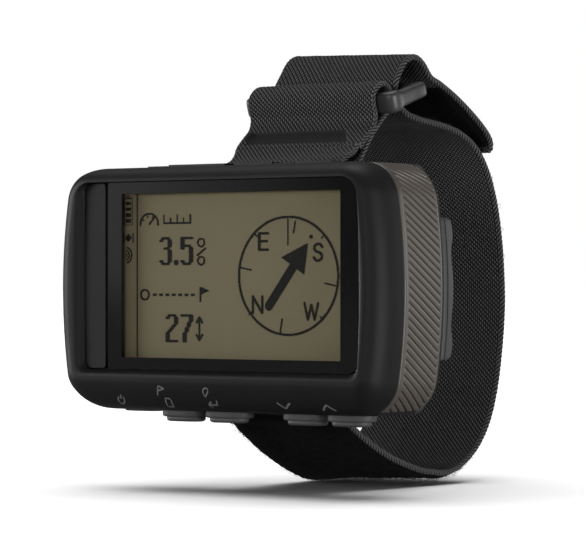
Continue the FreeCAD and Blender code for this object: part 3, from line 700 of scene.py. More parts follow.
def lcd_bitmap():
    G = np.zeros((ROWS, COLS), bool)
    B = np.zeros((ROWS * FINE, COLS * FINE), bool)
    jj, ii = np.meshgrid((np.arange(COLS * FINE) + 0.5) / FINE, (np.arange(ROWS * FINE) + 0.5) / FINE)

    def glyph(c, r, rows):
        for k, line in enumerate(rows):
            for j, ch in enumerate(line):
                if ch == "X" and 0 <= r + k < ROWS and 0 <= c + j < COLS:
                    G[r + k, c + j] = True

    def seg(a, b, w):
        ax, az, bx, bz = a[0], a[1], b[0], b[1]
        dx, dz = bx - ax, bz - az
        L2 = dx * dx + dz * dz
        t = np.clip(((jj - ax) * dx + (ii - az) * dz) / L2, 0, 1)
        B[np.hypot(jj - ax - t * dx, ii - az - t * dz) <= w / 2] = True

    def poly(pts):
        inside = np.ones_like(B)
        n = len(pts)
        area = sum(pts[k][0] * pts[(k + 1) % n][1] - pts[(k + 1) % n][0] * pts[k][1] for k in range(n))
        for k in range(n):
            (ax, az), (bx, bz) = pts[k], pts[(k + 1) % n]
            side = (bx - ax) * (ii - az) - (bz - az) * (jj - ax)
            inside &= side * (1 if area > 0 else -1) >= 0
        B[inside] = True
    def box(x0, x1, y0, y1):
        B[(jj >= x0) & (jj <= x1) & (ii >= y0) & (ii <= y1)] = True
    box(7.2, 7.65, 0, ROWS)                               # status column's line
    # battery, position, beacon
    for x0, x1, y0, y1 in ((1.2, 1.5, 1.6, 12.2), (5.0, 5.3, 1.6, 12.2), (1.2, 5.3, 11.9, 12.2), (1.2, 5.3, 1.6, 1.9),
                           (2.4, 4.1, 0.7, 1.0), (2.4, 2.7, 0.7, 1.8), (3.8, 4.1, 0.7, 1.8)):
        box(x0, x1, y0, y1)
    for k in range(4):
        box(2.1, 4.4, 2.9 + 2.3 * k, 4.3 + 2.3 * k)
    B[np.abs(jj - 3.3) + np.abs(ii - 17.2) < 1.7] = True
    for x in (0.9, 5.2):
        box(x, x + 0.45, 15.2, 19.2)
    for k, r in enumerate((0.5, 1.7, 2.9)):
        d = np.hypot(jj - 2.0, (ii - 24.0) * 0.95)
        B[(np.abs(d - r) < 0.28) & (jj > 2.0 + 0.3 * k)] = True
    # a gauge and its scale; a route with its flag
    d = np.hypot((jj - 13.3), (ii - 12.0))
    B[(np.abs(d - 4.2) < 0.38) & (ii < 12.6)] = True
    seg((13.3, 12.0), (15.9, 9.0), 0.75)
    for a in (150, 105, 60):
        c_, s_ = math.cos(math.radians(a)), math.sin(math.radians(a))
        seg((13.3 + 2.9 * c_, 12.0 - 2.9 * s_), (13.3 + 3.8 * c_, 12.0 - 3.8 * s_), 0.5)
    box(20.0, 33.0, 11.3, 12.0)
    for k in range(5):
        box(20.0 + 3.08 * k, 20.6 + 3.08 * k, 8.2 if k % 2 == 0 else 9.6, 11.4)
    d = np.hypot(jj - 11.2, ii - 39.5)
    B[(d < 2.3) & (d > 1.5)] = True
    for k in range(7):
        box(15.0 + 3.0 * k, 16.8 + 3.0 * k, 39.1, 39.9)
    box(37.0, 37.7, 36.4, 42.2)
    poly([(37.7, 36.4), (41.6, 37.9), (37.7, 39.4)])
    three = [".XXXX.", "XX..XX", "....XX", "....XX", "..XXX.", "....XX", "....XX", "....XX", "....XX", "XX..XX", ".XXXX."]
    five = ["XXXXXX", "XX....", "XX....", "XXXXX.", "XX..XX", "....XX", "....XX", "....XX", "....XX", "XX..XX", ".XXXX."]
    two = [".XXXX.", "XX..XX", "....XX", "....XX", "...XX.", "..XX..", ".XX...", "XX....", "XX....", "XX....", "XXXXXX"]
    seven = ["XXXXXX", "....XX", "....XX", "...XX.", "...XX.", "..XX..", "..XX..", ".XX...", ".XX...", ".XX...", ".XX..."]
    glyph(18, 17, three)
    glyph(25, 26, ["XX", "XX"])
    glyph(28, 17, five)
    glyph(21, 47, two)
    glyph(28, 47, seven)
    # units as plain signs
    d = np.hypot(jj - 37.7, ii - 19.3)
    B[(d < 1.9) & (d > 1.15)] = True
    seg((36.0, 24.2), (39.6, 21.6), 0.8)
    d = np.hypot(jj - 37.7, ii - 26.3)
    B[(d < 1.9) & (d > 1.15)] = True
    seg((36.9, 48.6), (36.9, 56.6), 0.9)
    for k in (1, -1):
        seg((36.9, 52.6 - 4.4 * k), (35.6, 52.6 - 2.4 * k), 0.9)
        seg((36.9, 52.6 - 4.4 * k), (38.2, 52.6 - 2.4 * k), 0.9)
    # compass rose
    cx, cy, rx, ry = 77.3, 32.2, 22.6, 22.8
    rr = np.hypot((jj - cx) / rx, (ii - cy) / ry)
    B[(rr < 1.0) & (rr > 1 - 0.95 / rx)] = True

    def at(x, z):
        return ((x - LX0) / PX, (LZ1 - z) / PZ)
    seg(at(14.96, 12.2), at(14.96, 7.6), 0.5)
    for a, b in (((16.6, 11.6), (16.2, 9.6)), ((4.6, 3.7), (7.0, 3.3)), ((22.9, 1.0), (25.4, 0.5)),
                 ((13.75, -5.2), (13.35, -7.6))):
        seg(at(*a), at(*b), 0.65)
    for a, b in (((7.6, 9.7), (8.3, 9.1)), ((22.9, 9.3), (22.2, 8.7)), ((6.5, -4.5), (7.2, -4.0)),
                 ((22.6, -5.2), (21.9, -4.7))):
        seg(at(*a), at(*b), 0.6)
    tip, tail = np.array(at(19.3, 7.9)), np.array(at(10.9, -2.95))
    poly([tuple(tip), at(18.5, 2.45), at(13.55, 5.45)])
    seg(tuple(tail), tuple(tail + (tip - tail) * 0.66), 3.6)
    B[np.hypot(jj - 87.5, ii - 17.5) < 0.75] = True

    def letter(cx, cy, w, h, lines, t=1.05):
        for a, b in lines:
            seg((cx + w * a[0], cy - h * a[1]), (cx + w * b[0], cy - h * b[1]), t)
    letter(66.3, 19.2, 1.9, 3.1, [((-1, -1), (-1, 1)), ((-1, 1), (1, 1)), ((-1, 0.05), (0.8, 0.05)), ((-1, -1), (1, -1))])
    letter(63.6, 43.2, 2.1, 3.1, [((-1, -1), (-1, 1)), ((-1, 1), (1, -1)), ((1, -1), (1, 1))])
    letter(87.6, 45.6, 3.0, 3.1, [((-1, 1), (-0.5, -1)), ((-0.5, -1), (0, 0.8)), ((0, 0.8), (0.5, -1)), ((0.5, -1), (1, 1))], 0.95)
    curve = [(0.95, 0.62), (0.5, 0.97), (-0.2, 1.0), (-0.8, 0.75), (-0.9, 0.4), (-0.5, 0.12), (0.45, -0.1), (0.9, -0.4),
             (0.85, -0.75), (0.3, -1.0), (-0.4, -1.0), (-0.95, -0.65)]
    letter(90.6, 23.3, 1.9, 3.1, list(zip(curve[:-1], curve[1:])))
    # the figures, their corners smoothed from the layout grid
    up = np.kron(G, np.ones((FINE, FINE)))
    for _ in range(2):
        p = np.pad(up, 1)
        up = sum(p[a:a + up.shape[0], b:b + up.shape[1]] for a in range(3) for b in range(3)) / 9
    return B | (up > 0.5)


def make_marks():
    B = lcd_bitmap()
    V, F = [], []
    for r in range(B.shape[0]):
        row = np.concatenate([[0], B[r].astype(int), [0]])
        edge = np.flatnonzero(np.diff(row))
        for c0, c1 in zip(edge[::2], edge[1::2]):
            x0, x1 = LX0 + c0 * PX / FINE, LX0 + c1 * PX / FINE
            z1, z0 = LZ1 - r * PZ / FINE, LZ1 - (r + 1) * PZ / FINE
            b = len(V)
            for y in (1.74, 1.79):
                V += [(x0, y, z0), (x1, y, z0), (x1, y, z1), (x0, y, z1)]
            F += [(b, b + 1, b + 2, b + 3), (b + 7, b + 6, b + 5, b + 4), (b, b + 4, b + 5, b + 1),
                  (b + 1, b + 5, b + 6, b + 2), (b + 2, b + 6, b + 7, b + 3), (b + 3, b + 7, b + 4, b)]
    return piece("display_marks", V, [F], M["lcd_mark"], "unit", flat=True)


make_marks()

# ------------------------------------------------------------------ key symbols on the lower lip
FL = sorted([(-(UNIT_H / 2 - s[3]), s[0]) for s in SECT])
FLZ = [a for a, b in FL]
FLY = [b for a, b in FL]


def lip_y(z):
    """Depth of the lower lip's skin at height z, at the middle of the length."""
    best = []
    for t in np.linspace(0, 1, 400):
        c = bezel_flank(t)
        best.append((-(UNIT_H / 2 - c[3]), c[0]))
    best = np.array(best)
    return np.interp(z, best[:, 0], best[:, 1])


LIPZ = np.linspace(-21.7, -15.8, 120)
LIPY = lip_y(LIPZ)


def stroke(V, F, pts, w, closed=False):
    """A flat printed line on the lip, following its curve."""
    pts = np.array(pts + (pts[:1] if closed else []), float)
    c, _, L = even(pts, 0.16)
    nrm = normals2d(c)
    b = len(V)
    for (x, z), (nx, nz) in zip(c, nrm):
        for k in (-0.5, 0.5):
            px, pz = x + nx * w * k, z + nz * w * k
            V.append((px, float(np.interp(pz, LIPZ, LIPY)) - 0.025, pz))
    for k in range(len(c) - 1):
        F.append((b + 2 * k, b + 2 * k + 1, b + 2 * k + 3, b + 2 * k + 2))


def ring_pts(cx, cz, r, a0=0, a1=360, n=22):
    return [(cx + r * math.cos(math.radians(a0 + (a1 - a0) * k / n)),
             cz + r * math.sin(math.radians(a0 + (a1 - a0) * k / n))) for k in range(n + 1)]


def make_icons():
    V, F = [], []
    w = 0.24

    def put(cx, cz, pts, closed=False, k=1.3):
        """A symbol's line, placed about its middle and leaned against the curve of the lip."""
        stroke(V, F, [(cx + k * (x + 0.5 * z), cz + k * z) for x, z in pts], w, closed)
    # power: open ring and bar
    put(-22.2, -19.9, ring_pts(0, 0, 0.55, 125, 415))
    put(-22.2, -19.9, [(0, 0.15), (0, 0.75)])
    # way point flag, page
    put(-12.0, -18.0, [(-0.5, -0.65), (-0.5, 0.65), (0.55, 0.3), (-0.5, -0.05)])
    put(-11.4, -20.15, [(-0.5, -0.6), (-0.5, 0.6), (0.2, 0.6), (0.5, 0.3), (0.5, -0.6)], True)
    # pin, return arrow
    put(-1.9, -18.05, [(0, -0.7), (-0.42, 0.0)] + ring_pts(0, 0.15, 0.42, 195, -15, 14) + [(0.42, 0.0), (0, -0.7)])
    put(-1.5, -20.15, [(0.75, 0.5), (0.75, -0.15), (-0.7, -0.15)])
    put(-1.5, -20.15, [(-0.2, 0.3), (-0.72, -0.15), (-0.2, -0.6)])
    # down and up
    stroke(V, F, [(12.95, -19.6), (14.15, -20.6), (15.8, -19.6)], 0.3)
    stroke(V, F, [(22.0, -20.75), (23.4, -19.75), (24.7, -20.75)], 0.3)
    return piece("key_symbols", V, [F], M["icon"], "unit")


make_icons()

# ------------------------------------------------------------------ ribbed grips
def make_grip(name, right, body, nodes, y0, y1, x_top, x_bot):
    P = outline(seg=(200, 90, 420, 90, 200, 90, 420, 90))
    if right:
        i0 = np.argmax((P[:, 0] > x_top) & (P[:, 1] > 0))
        keep = [k for k in range(len(P)) if (P[k, 0] > (x_top if P[k, 1] > 0 else x_bot))]
        c = P[keep]
    else:
        Q = np.roll(P, -len(P) // 2, 0)
        c = Q[Q[:, 0] < -x_top]
    c, s, L = even(c, 0.105)
    n = normals2d(c)                      # clockwise path: left is outward
    if np.mean(n[:, 0] * c[:, 0]) < 0:
        n = -n
    sgn = 1 if right else -1
    s = (L / 2 - s) * sgn                 # height along the skin, up is positive
    ny = 112
    ys = np.linspace(y0, y1, ny)
    S, Y = np.meshgrid(s, ys, indexing="ij")
    pitch = 1.385
    g = (S + 0.62 * (Y - y0)) / pitch
    d = np.abs(g - np.round(g)) * pitch
    groove = np.exp(-(d / 0.125) ** 2) * 0.32
    crown = 0.035 * (1 - np.cos(np.clip(d / (pitch / 2), 0, 1) * math.pi)) / 2
    mask = step01(Y, y0 + 1.15, y0 + 1.5) * (1 - step01(Y, y1 - 0.75, y1 - 0.5))
    ends = step01(L / 2 - np.abs(S), 0.0, 0.5)
    dep = (groove - crown + 0.035) * mask + 0.02
    # the front margin is a fine raised edge
    dep -= 0.0 * mask
    lipd = 0.10 * np.exp(-((Y - y0 - 1.02) / 0.14) ** 2)
    dep += lipd
    edge = 0.32
    dep += edge * (1 - np.sqrt(np.clip(1 - (np.clip(edge - (Y - y0), 0, edge) / edge) ** 2, 0, 1))) * 0.8
    dep += edge * (1 - np.sqrt(np.clip(1 - (np.clip(edge - (y1 - Y), 0, edge) / edge) ** 2, 0, 1))) * 0.8
    X = c[:, 0][:, None] - n[:, 0][:, None] * dep
    Z = c[:, 1][:, None] - n[:, 1][:, None] * dep
    top = np.stack([X, Y, Z], -1)
    in_d = 0.78
    inner = np.stack([np.repeat((c[:, 0] - n[:, 0] * in_d)[:, None], 2, 1),
                      np.repeat(np.array([[y1, y0]]), len(c), 0),
                      np.repeat((c[:, 1] - n[:, 1] * in_d)[:, None], 2, 1)], -1)
    V = np.concatenate([top, inner], 1)
    # uv: groove count and rib mask, which the grip material reads for its painted groove shade
    uv = np.concatenate([np.stack([g, mask], -1), np.zeros((len(c), 2, 2))], 1).reshape(-1, 2)
    nu, nv = V.shape[:2]
    q = grid_faces(nu, nv, close_v=True, flip=not right)
    caps = [fan(np.arange(nv), right), fan(np.arange(nv) + (nu - 1) * nv, not right)]
    ob = piece(name, V.reshape(-1, 3), [q, *caps], M["grip"], body, nodes, sharp=60, uv=uv)
    return ob


make_grip("door_grip_skin", True, "battery_door", ["door_grip"], 6.85, 18.2, 28.15, 30.9)
make_grip("left_grip_skin", False, "unit", ["left_grip"], 7.0, 18.2, 27.65, 27.65)

# ------------------------------------------------------------------ latch lever
def make_latch():
    wave = [(22.1, -12.2), (22.45, -11.9), (22.75, -10.6), (22.7, -9.0), (22.15, -7.2), (22.05, -5.4), (22.3, -2.4),
            (22.35, 0.0), (22.3, 2.4), (22.0, 5.0), (22.1, 7.0), (22.7, 9.0), (22.75, 10.4), (22.45, 11.9), (22.05, 12.3)]
    c = curve_through(wave, 10)
    z = np.linspace(-12.3, 12.3, 150)
    yb = np.interp(z, c[:, 1], c[:, 0])
    yb = yb - 0.5 * (1 - step01(12.35 - np.abs(z), 0, 0.6))
    cx = UNIT_W / 2 - 0.5 - (BULGE_R - 0.5)
    xo = cx + np.sqrt((BULGE_R - 0.5) ** 2 - z ** 2)
    rows = []
    for k in range(len(z)):
        yt, x1, x0 = yb[k], xo[k], 31.35
        e = 1.0 - 0.45 * (1 - step01(12.35 - abs(z[k]), 0, 0.5))
        x1 = x0 + (x1 - x0) * (0.93 + 0.07 * e)
        r = 0.42
        prof = [(x0, 19.5), (x0, yt - 0.25)]
        for a in np.linspace(180, 90, 4):
            prof.append((x0 + 0.25 + 0.25 * math.cos(math.radians(a)), yt - 0.25 + 0.25 * math.sin(math.radians(a))))
        mid = (x0 + x1) / 2
        prof.append((mid, yt - 0.10))
        for a in np.linspace(90, 0, 8):
            prof.append((x1 - r + r * math.cos(math.radians(a)), yt - r + r * math.sin(math.radians(a))))
        prof += [(x1, 20.62), (x1 - 0.24, 20.56), (x1 - 0.24, 20.40), (x1 - 0.04, 20.34), (x1 - 0.06, 19.9)]
        prof.append((x1 - 0.3, 19.5))
        rows.append([(px, py, z[k]) for px, py in prof])
    V = np.array(rows)
    nu, nv = V.shape[:2]
    q = grid_faces(nu, nv, close_v=True, flip=True)
    caps = [fan(np.arange(nv)), fan(np.arange(nv) + (nu - 1) * nv, True)]
    return piece("latch_lever", V.reshape(-1, 3), [q, *caps], M["latch"], "door_latch",
                 ["battery_latch"], sharp=42)


make_latch()

# ------------------------------------------------------------------ keys and their collars
def stadium_ring(x0, x1, y0, y1, inset, n=14):
    r = (y1 - y0) / 2 - inset
    ym = (y0 + y1) / 2
    P = []
    for k in range(n + 1):
        a = math.radians(-90 + 180 * k / n)
        P.append((x1 - (y1 - y0) / 2 + r * math.cos(a), ym + r * math.sin(a)))
    for k in range(n + 1):
        a = math.radians(90 + 180 * k / n)
        P.append((x0 + (y1 - y0) / 2 + r * math.cos(a), ym + r * math.sin(a)))
    return np.array(P)


KEYS = {"key_power": (-27.2, -19.3, 0.35, False), "key_page": (-17.4, -9.6, 2.0, True),
        "key_enter": (-7.55, 0.2, 2.0, True), "key_down": (9.85, 17.6, 2.0, True), "key_up": (19.4, 26.9, 2.0, True)}


def make_keys():
    colV, colF = [], []
    for k, (x0, x1, pr, col) in KEYS.items():
        zb = -UNIT_H / 2 - pr
        r = min(0.55, 0.3 + pr * 0.14)
        prof = [(0.0, -19.6), (0.0, zb + r)]
        for a in np.linspace(15, 90, 6):
            prof.append((r * (1 - math.cos(math.radians(a))), zb + r - r * math.sin(math.radians(a))))
        prof += [(r + 0.35, zb - 0.01), (r + 0.8, zb + 0.05), (r + 1.2, zb + 0.08)]
        rings = [np.insert(stadium_ring(x0, x1, 7.2, 11.4, min(i, 2.0)), 2, z, 1) for i, z in prof]
        V = np.array(rings)
        nu, nv = V.shape[:2]
        piece(k + "_cap", V.reshape(-1, 3),
              [grid_faces(nu, nv, close_v=True, flip=True), fan(np.arange(nv)), fan(np.arange(nv) + (nu - 1) * nv, True)],
              M["key"], k, [k], sharp=50)
        if not col:
            continue
        ox0, ox1, oy0, oy1 = x0 - 0.85, x1 + 0.85, 6.6, 12.25
        prof = [(oy0, oy1, 0.0, -21.2), (oy0, oy1, 0.0, -22.55), (oy0, oy1, 0.10, -22.8), (oy0, oy1, 0.28, -22.9)]
        rings = [np.insert(stadium_ring(ox0, ox1, oy0, oy1, i), 2, z, 1) for _, _, i, z in prof]
        ins = [(0.0, -22.84), (0.08, -22.7), (0.12, -21.4)]
        rings += [np.insert(stadium_ring(x0 - 0.32, x1 + 0.32, 6.88, 11.72, i), 2, z, 1) for i, z in ins]
        V = np.array(rings)
        nu, nv = V.shape[:2]
        b = len(colV)
        colF.append(grid_faces(nu, nv, close_u=True, close_v=True, flip=True, base=b))
        colV += V.reshape(-1, 3).tolist()
    piece("key_collar_rims", colV, [np.concatenate(colF)], M["key"], "unit", ["key_collars"], sharp=45)


make_keys()

# ------------------------------------------------------------------ strap ring
def make_ring():
    f, b = np.array((31.3, 33.4)), np.array((40.0, 36.1))
    L = np.linalg.norm(b - f)
    d = (b - f) / L
    hx, rc = 16.05, 0.45
    # centre line in ring coordinates: a across (x), q along from the front bar to the rear bar
    P, N = [], []

    def arc(cx, cq, a0, a1, n=4):
        for k in range(n):
            a = math.radians(a0 + (a1 - a0) * k / (n - 1))
            P.append((cx + rc * math.cos(a), cq + rc * math.sin(a)))
            N.append((math.cos(a), math.sin(a)))
    arc(hx - rc, rc, -90, 0)
    for q in (0.9, 1.3, 1.8, 2.2, 3.0, 5.0, 7.0):
        P.append((hx, q)); N.append((1, 0))
    arc(hx - rc, L - rc, 0, 90)
    for a in (12.5, 11.5, -11.5, -12.5):
        P.append((a, L)); N.append((0, 1))
    arc(-hx + rc, L - rc, 90, 180)
    for q in (7.0, 5.0, 3.0, 2.2, 1.8, 1.3, 0.9):
        P.append((-hx, q)); N.append((-1, 0))
    arc(-hx + rc, rc, 180, 270)
    for a in (-13.6, -13.2, -12.6, -12.0, 12.0, 12.6, 13.2, 13.6):
        P.append((a, 0)); N.append((0, -1))
    rows = []
    for (a, q), (na, nq) in zip(P, N):
        front = float(1 - step01(q, 1.4, 2.0))
        side = float(step01(abs(a), 12.4, 13.4))
        row = []
        for k in range(28):
            t = 2 * math.pi * k / 28
            c, s = math.cos(t), math.sin(t)
            e = 1.0 - 0.52 * side
            c, s = math.copysign(abs(c) ** e, c), math.copysign(abs(s) ** e, s)
            back = min(1.0, max(0.0, (q - L + 1.5) / 1.5))
            ro = 1.30 - 0.14 * side * (1 - front) + 0.3 * back * side
            rv = 1.36 + side * (0.55 * front + 0.16 * (1 - q / L) * (1 - front))
            oa, oq, ov = a + na * ro * c, q + nq * ro * c, rv * s
            oa += 0.7 * float(step01(-oa, 13.0, 15.0))
            y, z = f + d * oq + np.array((-d[1], d[0])) * ov
            row.append((oa, y, z))
        rows.append(row)
    V = np.array(rows)
    nu, nv = V.shape[:2]
    return piece("buckle_ring", V.reshape(-1, 3), [grid_faces(nu, nv, close_u=True, close_v=True)], M["ring"],
                 "strap_ring", ["strap_ring"], sharp=38)


make_ring()

# ------------------------------------------------------------------ woven relief
def weave_relief(S, U, pu=PU, ps=PS, amp=0.085):
    """Height of knitted columns along the tape, their stitches leaning and in brick order."""
    col = U / pu
    k = np.floor(col)
    f = col - k
    ph = S / ps + 0.5 * (k % 2) + (f - 0.5) * LEAN
    st = 0.5 + 0.5 * np.cos(2 * np.pi * (ph - 0.5))
    return amp * np.sin(np.pi * f) * (0.45 + 0.55 * st)


def tube_along(P3, T3, radius, sides=20, twist_pitch=3.5, depth=0.22, strands=4):
    """A twisted cord along 3-D points: its skin has the ridges of its strands."""
    P3, T3 = np.asarray(P3, float), np.asarray(T3, float)
    T3 /= np.linalg.norm(T3, axis=1)[:, None]
    A = np.cross(T3, np.array((1.0, 0, 0)))
    A /= np.linalg.norm(A, axis=1)[:, None]
    Bn = np.cross(T3, A)
    s = np.concatenate([[0], np.cumsum(np.linalg.norm(np.diff(P3, axis=0), axis=1))])
    # one edge more than the sides, so that the strand numbers run on; it faces the tape's middle
    th = np.linspace(0, 2 * np.pi, sides + 1) + np.pi / 2 * np.sign(P3[0, 0])
    ph = strands * (th[None, :] - 2 * np.pi * s[:, None] / twist_pitch)
    r = radius * (1 - depth + depth * np.abs(np.cos(ph / 2)) * 1.25)
    V = P3[:, None, :] + r[..., None] * (np.cos(th)[None, :, None] * A[:, None, :] + np.sin(th)[None, :, None] * Bn[:, None, :])
    nu, nv = V.shape[:2]
    uv = np.stack([ph / (2 * np.pi), np.broadcast_to(s[:, None], ph.shape)], -1).reshape(-1, 2)
    q = grid_faces(nu, nv)
    m = nv - 1
    return V.reshape(-1, 3), [q, fan(np.arange(m), True), fan(np.arange(m) + (nu - 1) * nv)], uv


def end_cord(P3, radius, ahead, sides=20, twist_pitch=3.5, depth=0.22, strands=4):
    """The twisted cord across the strap's end; its strand numbers start inside the tape."""
    ahead = ahead / np.linalg.norm(ahead)
    A = np.array((0.0, -ahead[0], -ahead[1]))
    Bn = np.array((0.0, ahead[1], -ahead[0]))
    s = P3[:, 0]
    th = np.linspace(0, 2 * np.pi, sides + 1)
    ph = strands * (th[None, :] - 2 * np.pi * s[:, None] / twist_pitch)
    r = radius * (1 - depth + depth * np.abs(np.cos(ph / 2)) * 1.25)
    V = P3[:, None, :] + r[..., None] * (np.cos(th)[None, :, None] * A + np.sin(th)[None, :, None] * Bn)
    nu, nv = V.shape[:2]
    uv = np.stack([ph / (2 * np.pi), np.broadcast_to(s[:, None], ph.shape)], -1).reshape(-1, 2)
    m = nv - 1
    return V.reshape(-1, 3), [grid_faces(nu, nv), fan(np.arange(m), True), fan(np.arange(m) + (nu - 1) * nv)], uv


def join(parts):
    """Several (verts, faces) put together as one mesh's data."""
    V, F, base = [], {}, 0
    for v, faces in parts:
        V.append(np.asarray(v, float))
        for f in faces:
            f = np.asarray(f, np.int64)
            if len(f):
                F.setdefault(f.shape[1], []).append(f + base)
        base += len(v)
    return np.concatenate(V), [np.concatenate(x) for x in F.values()]


HALF = 14.0
EDGE = 0.5            # radius of the selvedge cord


def tape_skin(c, n, s, off_of, t_in, t_out, relief_in, xs, xo):
    """Closed flat tape: rows along the path, a fine loop over its woven face and a coarse one back."""
    def rows(xx, t, rel, sign):
        U, S = np.meshgrid(xx, s)
        side = np.clip((HALF - EDGE - np.abs(U)) / 0.45, 0, 1)
        side = np.sqrt(np.clip(1 - (1 - side) ** 2, 0, 1))
        mid = 0.5 * (t_in - t_out) * sign
        h = mid + (t + rel(S, U) - mid) * (0.35 + 0.65 * side)
        dy, dz = off_of(S, U, c, n)
        return np.stack([U, c[:, 0][:, None] + sign * n[:, 0][:, None] * h + dy,
                         c[:, 1][:, None] + sign * n[:, 1][:, None] * h + dz], -1), np.stack([S, U], -1)
    inn, uv1 = rows(xs, t_in, relief_in, 1)
    out, uv2 = rows(xo[::-1], t_out, lambda S, U: 0 * S, -1)
    V = np.concatenate([inn, out], 1)
    uv = np.concatenate([uv1, uv2], 1)
    nu, nv = V.shape[:2]
    q = grid_faces(nu, nv, close_v=True, flip=True)
    caps = [fan(np.arange(nv)), fan(np.arange(nv) + (nu - 1) * nv, True)]
    return V.reshape(-1, 3), [q, *caps], uv.reshape(-1, 2)


# ------------------------------------------------------------------ wrist strap
LOOP = [(20.9, -23.05), (23.6, -24.75), (27.0, -26.9), (31.0, -29.3), (36.0, -31.8), (41.5, -33.9), (46.5, -35.15),
        (51.5, -35.2), (56.0, -33.9), (60.0, -31.5), (63.4, -28.5), (66.2, -24.6), (68.3, -19.4), (69.7, -12.6),
        (70.5, -5.0), (70.4, 2.6), (69.6, 10.0), (68.2, 16.5), (65.9, 22.2), (62.9, 26.2), (58.8, 29.2), (53.6, 31.0),
        (47.6, 31.9), (42.6, 32.3), (39.4, 32.8), (37.2, 34.0), (36.5, 35.8), (36.6, 37.8), (37.8, 40.2), (39.8, 42.15),
        (42.2, 42.75), (44.4, 41.75), (45.4, 40.7), (47.4, 38.5), (50.2, 37.35), (54.8, 35.4), (60.3, 32.5), (64.1, 30.1),
        (66.1, 28.5), (66.9, 27.3), (66.7, 26.2)]
# the eye round the lower bar, before the first point
EYE = [(22.3, -18.3), (21.4, -17.75), (20.3, -17.6), (19.1, -17.95), (18.35, -19.0), (18.3, -20.3), (18.9, -21.6)]


def whole_path():
    pts = EYE + LOOP
    c = curve_through(pts, 30)
    c, s, L = even(c, 0.17)
    n = smooth_rows(normals2d(c), 12)
    return c, s, n, L


PATH_C, PATH_S, PATH_N, PATH_L = whole_path()


def s_at(pt):
    return PATH_S[np.argmin(np.hypot(PATH_C[:, 0] - pt[0], PATH_C[:, 1] - pt[1]))]


S_START = s_at((20.9, -23.05))
S_CUT = s_at((41.8, 42.35))            # the moving tail's own mesh begins here
S_PIVOT = s_at((45.2, 40.6))


# how far the near edge of the strap sits inside (+) or outside (-) its middle line
NEAR = [((20.9, -23.05), -0.9), ((27.0, -26.9), -0.6), ((32.5, -30.1), 0.0), ((39.4, -33.1), 0.7), ((47.8, -35.3), 1.2),
        ((56.0, -33.9), 0.1), ((61.0, -30.8), -0.45), ((64.8, -26.8), -0.7), ((68.0, -20.5), -0.75), ((69.7, -12.6), -1.0),
        ((70.5, -3.0), -1.25), ((69.9, 8.0), -1.1), ((68.2, 16.5), -0.8), ((66.2, 21.5), -0.45), ((62.9, 26.2), 0.0),
        ((58.8, 29.2), 0.6), ((51.5, 31.4), 1.0), ((45.0, 32.1), 1.0), ((39.4, 32.8), 0.5), ((36.8, 35.0), 0.0)]
NEAR_S = np.array([s_at(p) for p, _ in NEAR])
NEAR_H = np.array([h for _, h in NEAR])


def warp(S, U, c, n):
    """How the strap's surface leaves a straight extrusion: its near edge, and the fold over the ring."""
    s1 = S[:, 0]
    k = np.interp(s1, NEAR_S, NEAR_H, left=-0.9, right=0.0)
    side = (1 + U / HALF) / 2
    w = (step01(c[:, 1], 36.3, 40.0) * (1 - step01(c[:, 0], 44.0, 50.0)))[:, None]
    dy = n[:, 0][:, None] * k[:, None] * side + w * 0.55 * (1 - U / HALF)
    dz = n[:, 1][:, None] * k[:, None] * side - w * 0.45 * (1 + U / HALF)
    return dy, dz


def strap_part(tag, s0, s1, body, replaced, blend=None):
    keep = (PATH_S >= s0 - 1e-6) & (PATH_S <= s1 + 1e-6)
    c, n, s = PATH_C[keep], PATH_N[keep], PATH_S[keep]
    e = HALF - EDGE
    xs = np.concatenate([[-e], np.linspace(-e + 0.04, e - 0.04, 236), [e]])
    xo = np.concatenate([[-e], np.linspace(-e + 0.3, e - 0.3, 14), [e]])

    def rin(S, U):
        return weave_relief(S, U) + 0.03 * smooth_noise(S, U, 3, 2.3)
    V, F, uv = tape_skin(c, n, s, warp, 0.86, 0.05, rin, xs, xo)
    body_arg = None if blend else body
    ob = piece("tape_" + tag, V, F, M["weave"], body_arg, replaced, uv=uv)
    if blend:
        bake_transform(ob)
    cords = []
    for k in (-1, 1):
        U = np.full((len(s), 1), k * HALF)
        dy, dz = warp(s[:, None], U, c, n)
        h = 0.40
        P3 = np.stack([np.full(len(s), k * e), c[:, 0] + n[:, 0] * h + dy[:, 0], c[:, 1] + n[:, 1] * h + dz[:, 0]], 1)
        cords.append(tube_along(P3, np.gradient(P3, axis=0), EDGE + 0.02))
    if tag == "tail":
        U = np.linspace(-e, e, 200)
        dy, dz = warp(s[-1:, None] + 0 * U[None, :], U[None, :], c[-1:], n[-1:])
        P3 = np.stack([U, c[-1, 0] + n[-1, 0] * 0.4 + dy[0], c[-1, 1] + n[-1, 1] * 0.4 + dz[0]], 1)
        cords.append(end_cord(P3, EDGE + 0.02, c[-1] - c[-2]))
    V2, F2 = join([c[:2] for c in cords])
    rp = piece("selvedge_" + tag, V2, F2, M["rope"], body_arg, uv=np.concatenate([c[2] for c in cords]))
    if blend:
        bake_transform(rp)
    return ob, rp, c, n, s


